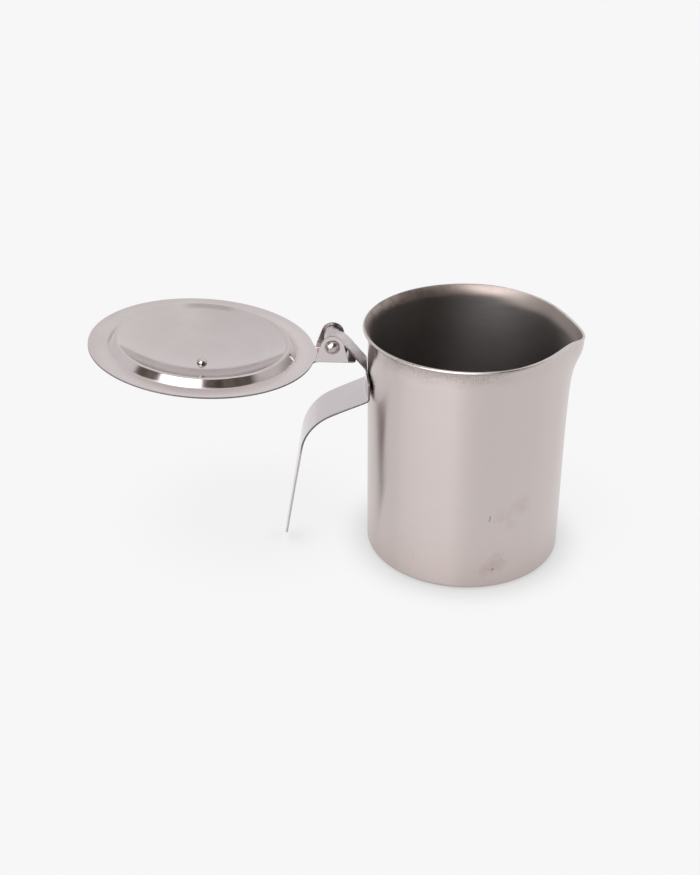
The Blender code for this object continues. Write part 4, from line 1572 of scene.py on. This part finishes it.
@dataclass
class Studio:
    """Pale floor, soft light and the camera."""

    pale: float = 0.930
    floor_half: float = 4.0
    floor_drop: float = 0.00005
    floor_glow: float = 0.92
    contact: float = 0.28
    contact_reach: float = 0.018
    contact_span: Point = (0.35, 1.0)
    contact_samples: int = 16
    lean: float = 2.4
    fill: float = 0.50
    key_strength: float = 1.62
    key_spread: float = math.radians(24.0)
    key_azimuth: float = math.radians(-36.0)
    key_height: float = math.radians(74.0)
    camera_place: Place = (-0.0470, -0.4694, 0.3129)
    camera_dip: float = math.radians(29.47)
    camera_roll: float = math.radians(-0.31)
    lens: float = 54.14
    sensor: float = 36.0
    photo_height: float = 875.0
    box_span: tuple[Point, Point] = ((-88.0, -81.0), (-14.0, -20.0))
    box_lean: float = 36.0
    box_level: tuple[Point, Point] = ((-0.01, 0.02), (0.93, 0.86))
    box_tone: float = 3.5
    room_span: tuple[Point, Point] = ((-96.0, -88.0), (96.0, 80.0))
    room_ragged: float = 14.0
    room_level: tuple[Point, Point] = ((0.02, 0.12), (0.93, 0.86))
    room_tones: tuple[Place, Place] = ((0.085, 0.074, 0.058), (0.19, 0.17, 0.14))
    wall_tones: Point = (0.86, 0.98)
    wall_span: Point = (-0.6, 0.6)
    clutter_scale: float = 9.0
    clutter_span: Point = (0.42, 0.62)

    def key_side(self, reach: float) -> Point:
        """Level step of a given length towards the key light."""
        return reach * math.sin(self.key_azimuth), -reach * math.cos(self.key_azimuth)

    def shown(self, desk: NodeDesk) -> Socket:
        """1 for what the camera sees directly, mirrored or through glass."""
        path = desk.add("ShaderNodeLightPath", {}).outputs
        seen = desk.math("MAXIMUM", path["Is Camera Ray"], path["Is Glossy Ray"])
        return desk.math("MAXIMUM", seen, path["Is Transmission Ray"])

    def floor(self) -> None:
        """Plain pale floor that keeps the soft shadows."""
        half = self.floor_half
        mesh = bpy.data.meshes.new("floor")
        corners = [(-half, -half), (half, -half), (half, half), (-half, half)]
        mesh.from_pydata([(x, y, -self.floor_drop) for x, y in corners], [], [(0, 1, 2, 3)])
        material = bpy.data.materials.new("pale_floor")
        material.use_nodes = True
        desk = NodeDesk(material.node_tree)
        material.node_tree.nodes.clear()
        white = grey(self.pale)
        matt = desk.add("ShaderNodeBsdfDiffuse", {"Color": white}).outputs[0]
        inputs = {"Distance": self.contact_reach, "Normal": (*self.key_side(self.lean), 1.0)}
        near = desk.add("ShaderNodeAmbientOcclusion", inputs, samples=self.contact_samples)
        strength = desk.between(near.outputs["AO"], *self.contact_span, 1.0 - self.contact)
        glow = desk.add("ShaderNodeEmission", {"Color": white, "Strength": strength}).outputs[0]
        share = desk.times(self.shown(desk), self.floor_glow)
        mixed = desk.add("ShaderNodeMixShader", {0: share, 1: matt, 2: glow}).outputs[0]
        desk.add("ShaderNodeOutputMaterial", {"Surface": mixed})
        add_object("floor", mesh, [material])

    def world(self) -> None:
        """Even soft light, with a softbox and the dark side of a room for the steel to mirror."""
        world = bpy.data.worlds.new("studio")
        bpy.context.scene.world = world
        world.use_nodes = True
        world.node_tree.nodes.clear()
        desk = NodeDesk(world.node_tree)
        towards = desk.add("ShaderNodeTexCoord", {}).outputs["Generated"]
        x, y, height = desk.split(towards)
        azimuth = desk.math("DEGREES", desk.math("ARCTAN2", x, desk.times(y, -1.0)))
        clutter = desk.noise(towards, self.clutter_scale, 4.0, 0.6)
        ragged = desk.plus(azimuth, desk.times(desk.minus(clutter, 0.5), self.room_ragged))
        leaning = desk.minus(azimuth, desk.times(height, self.box_lean))
        box = desk.times(desk.band(leaning, *self.box_span), desk.band(height, *self.box_level))
        room = desk.times(desk.band(ragged, *self.room_span), desk.band(height, *self.room_level))
        across = desk.between(x, *self.wall_span)
        walls = desk.blend(across, *(grey(tone) for tone in self.wall_tones))
        patches = desk.between(clutter, *self.clutter_span)
        gloom = desk.blend(patches, *((*colour, 1.0) for colour in self.room_tones))
        tone = desk.blend(box, desk.blend(room, walls, gloom), grey(self.box_tone))
        mirrored, shown, even = (
            desk.add("ShaderNodeBackground", {"Color": colour, "Strength": strength}).outputs[0]
            for colour, strength in ((tone, 1.0), (grey(self.pale), 1.0), (grey(1.0), self.fill)))
        path = desk.add("ShaderNodeLightPath", {}).outputs
        clear = desk.math("MAXIMUM", path["Is Camera Ray"], path["Is Transmission Ray"])
        lit = {0: path["Is Glossy Ray"], 1: even, 2: mirrored}
        mixed = desk.add("ShaderNodeMixShader", lit).outputs[0]
        mixed = desk.add("ShaderNodeMixShader", {0: clear, 1: mixed, 2: shown}).outputs[0]
        desk.add("ShaderNodeOutputWorld", {"Surface": mixed})

    def key(self) -> None:
        """Key light from high at the front left, for the shadows."""
        light = bpy.data.lights.new("key", "SUN")
        light.energy = self.key_strength
        light.angle = self.key_spread
        level = math.cos(self.key_height)
        aim = Vector((*self.key_side(level), math.sin(self.key_height)))
        obj = add_object("key", light)
        obj.rotation_mode = "QUATERNION"
        obj.rotation_quaternion = aim.to_track_quat("Z", "Y")
        obj.visible_glossy = False

    def camera(self) -> None:
        """Camera at the photograph's viewing angle."""
        data = bpy.data.cameras.new("camera")
        data.lens = self.lens
        data.sensor_width = self.sensor
        data.shift_x = -0.5 / self.photo_height
        data.shift_y = 0.5 / self.photo_height
        obj = add_object("camera", data)
        tilt = Matrix.Rotation(QUARTER - self.camera_dip, 4, "X")
        roll = Matrix.Rotation(self.camera_roll, 4, "Z")
        obj.matrix_world = Matrix.Translation(self.camera_place) @ tilt @ roll
        bpy.context.scene.camera = obj

    def build(self) -> None:
        """Set up the studio."""
        self.camera()
        self.floor()
        self.world()
        self.key()
        bpy.context.scene.view_settings.view_transform = "Standard"
        log.info("studio: floor, world, softbox and camera")


def main() -> None:
    """Build every piece in order."""
    logging.basicConfig(level=logging.INFO, format="%(name)s: %(message)s")
    Studio().build()
    finishes = Finishes()
    JugBody().build(finishes)
    HandleStrap().build(finishes)
    Lid().build(finishes)
    HingePin().build(finishes)
    Knob().build(finishes)


if __name__ == "__main__":
    main()
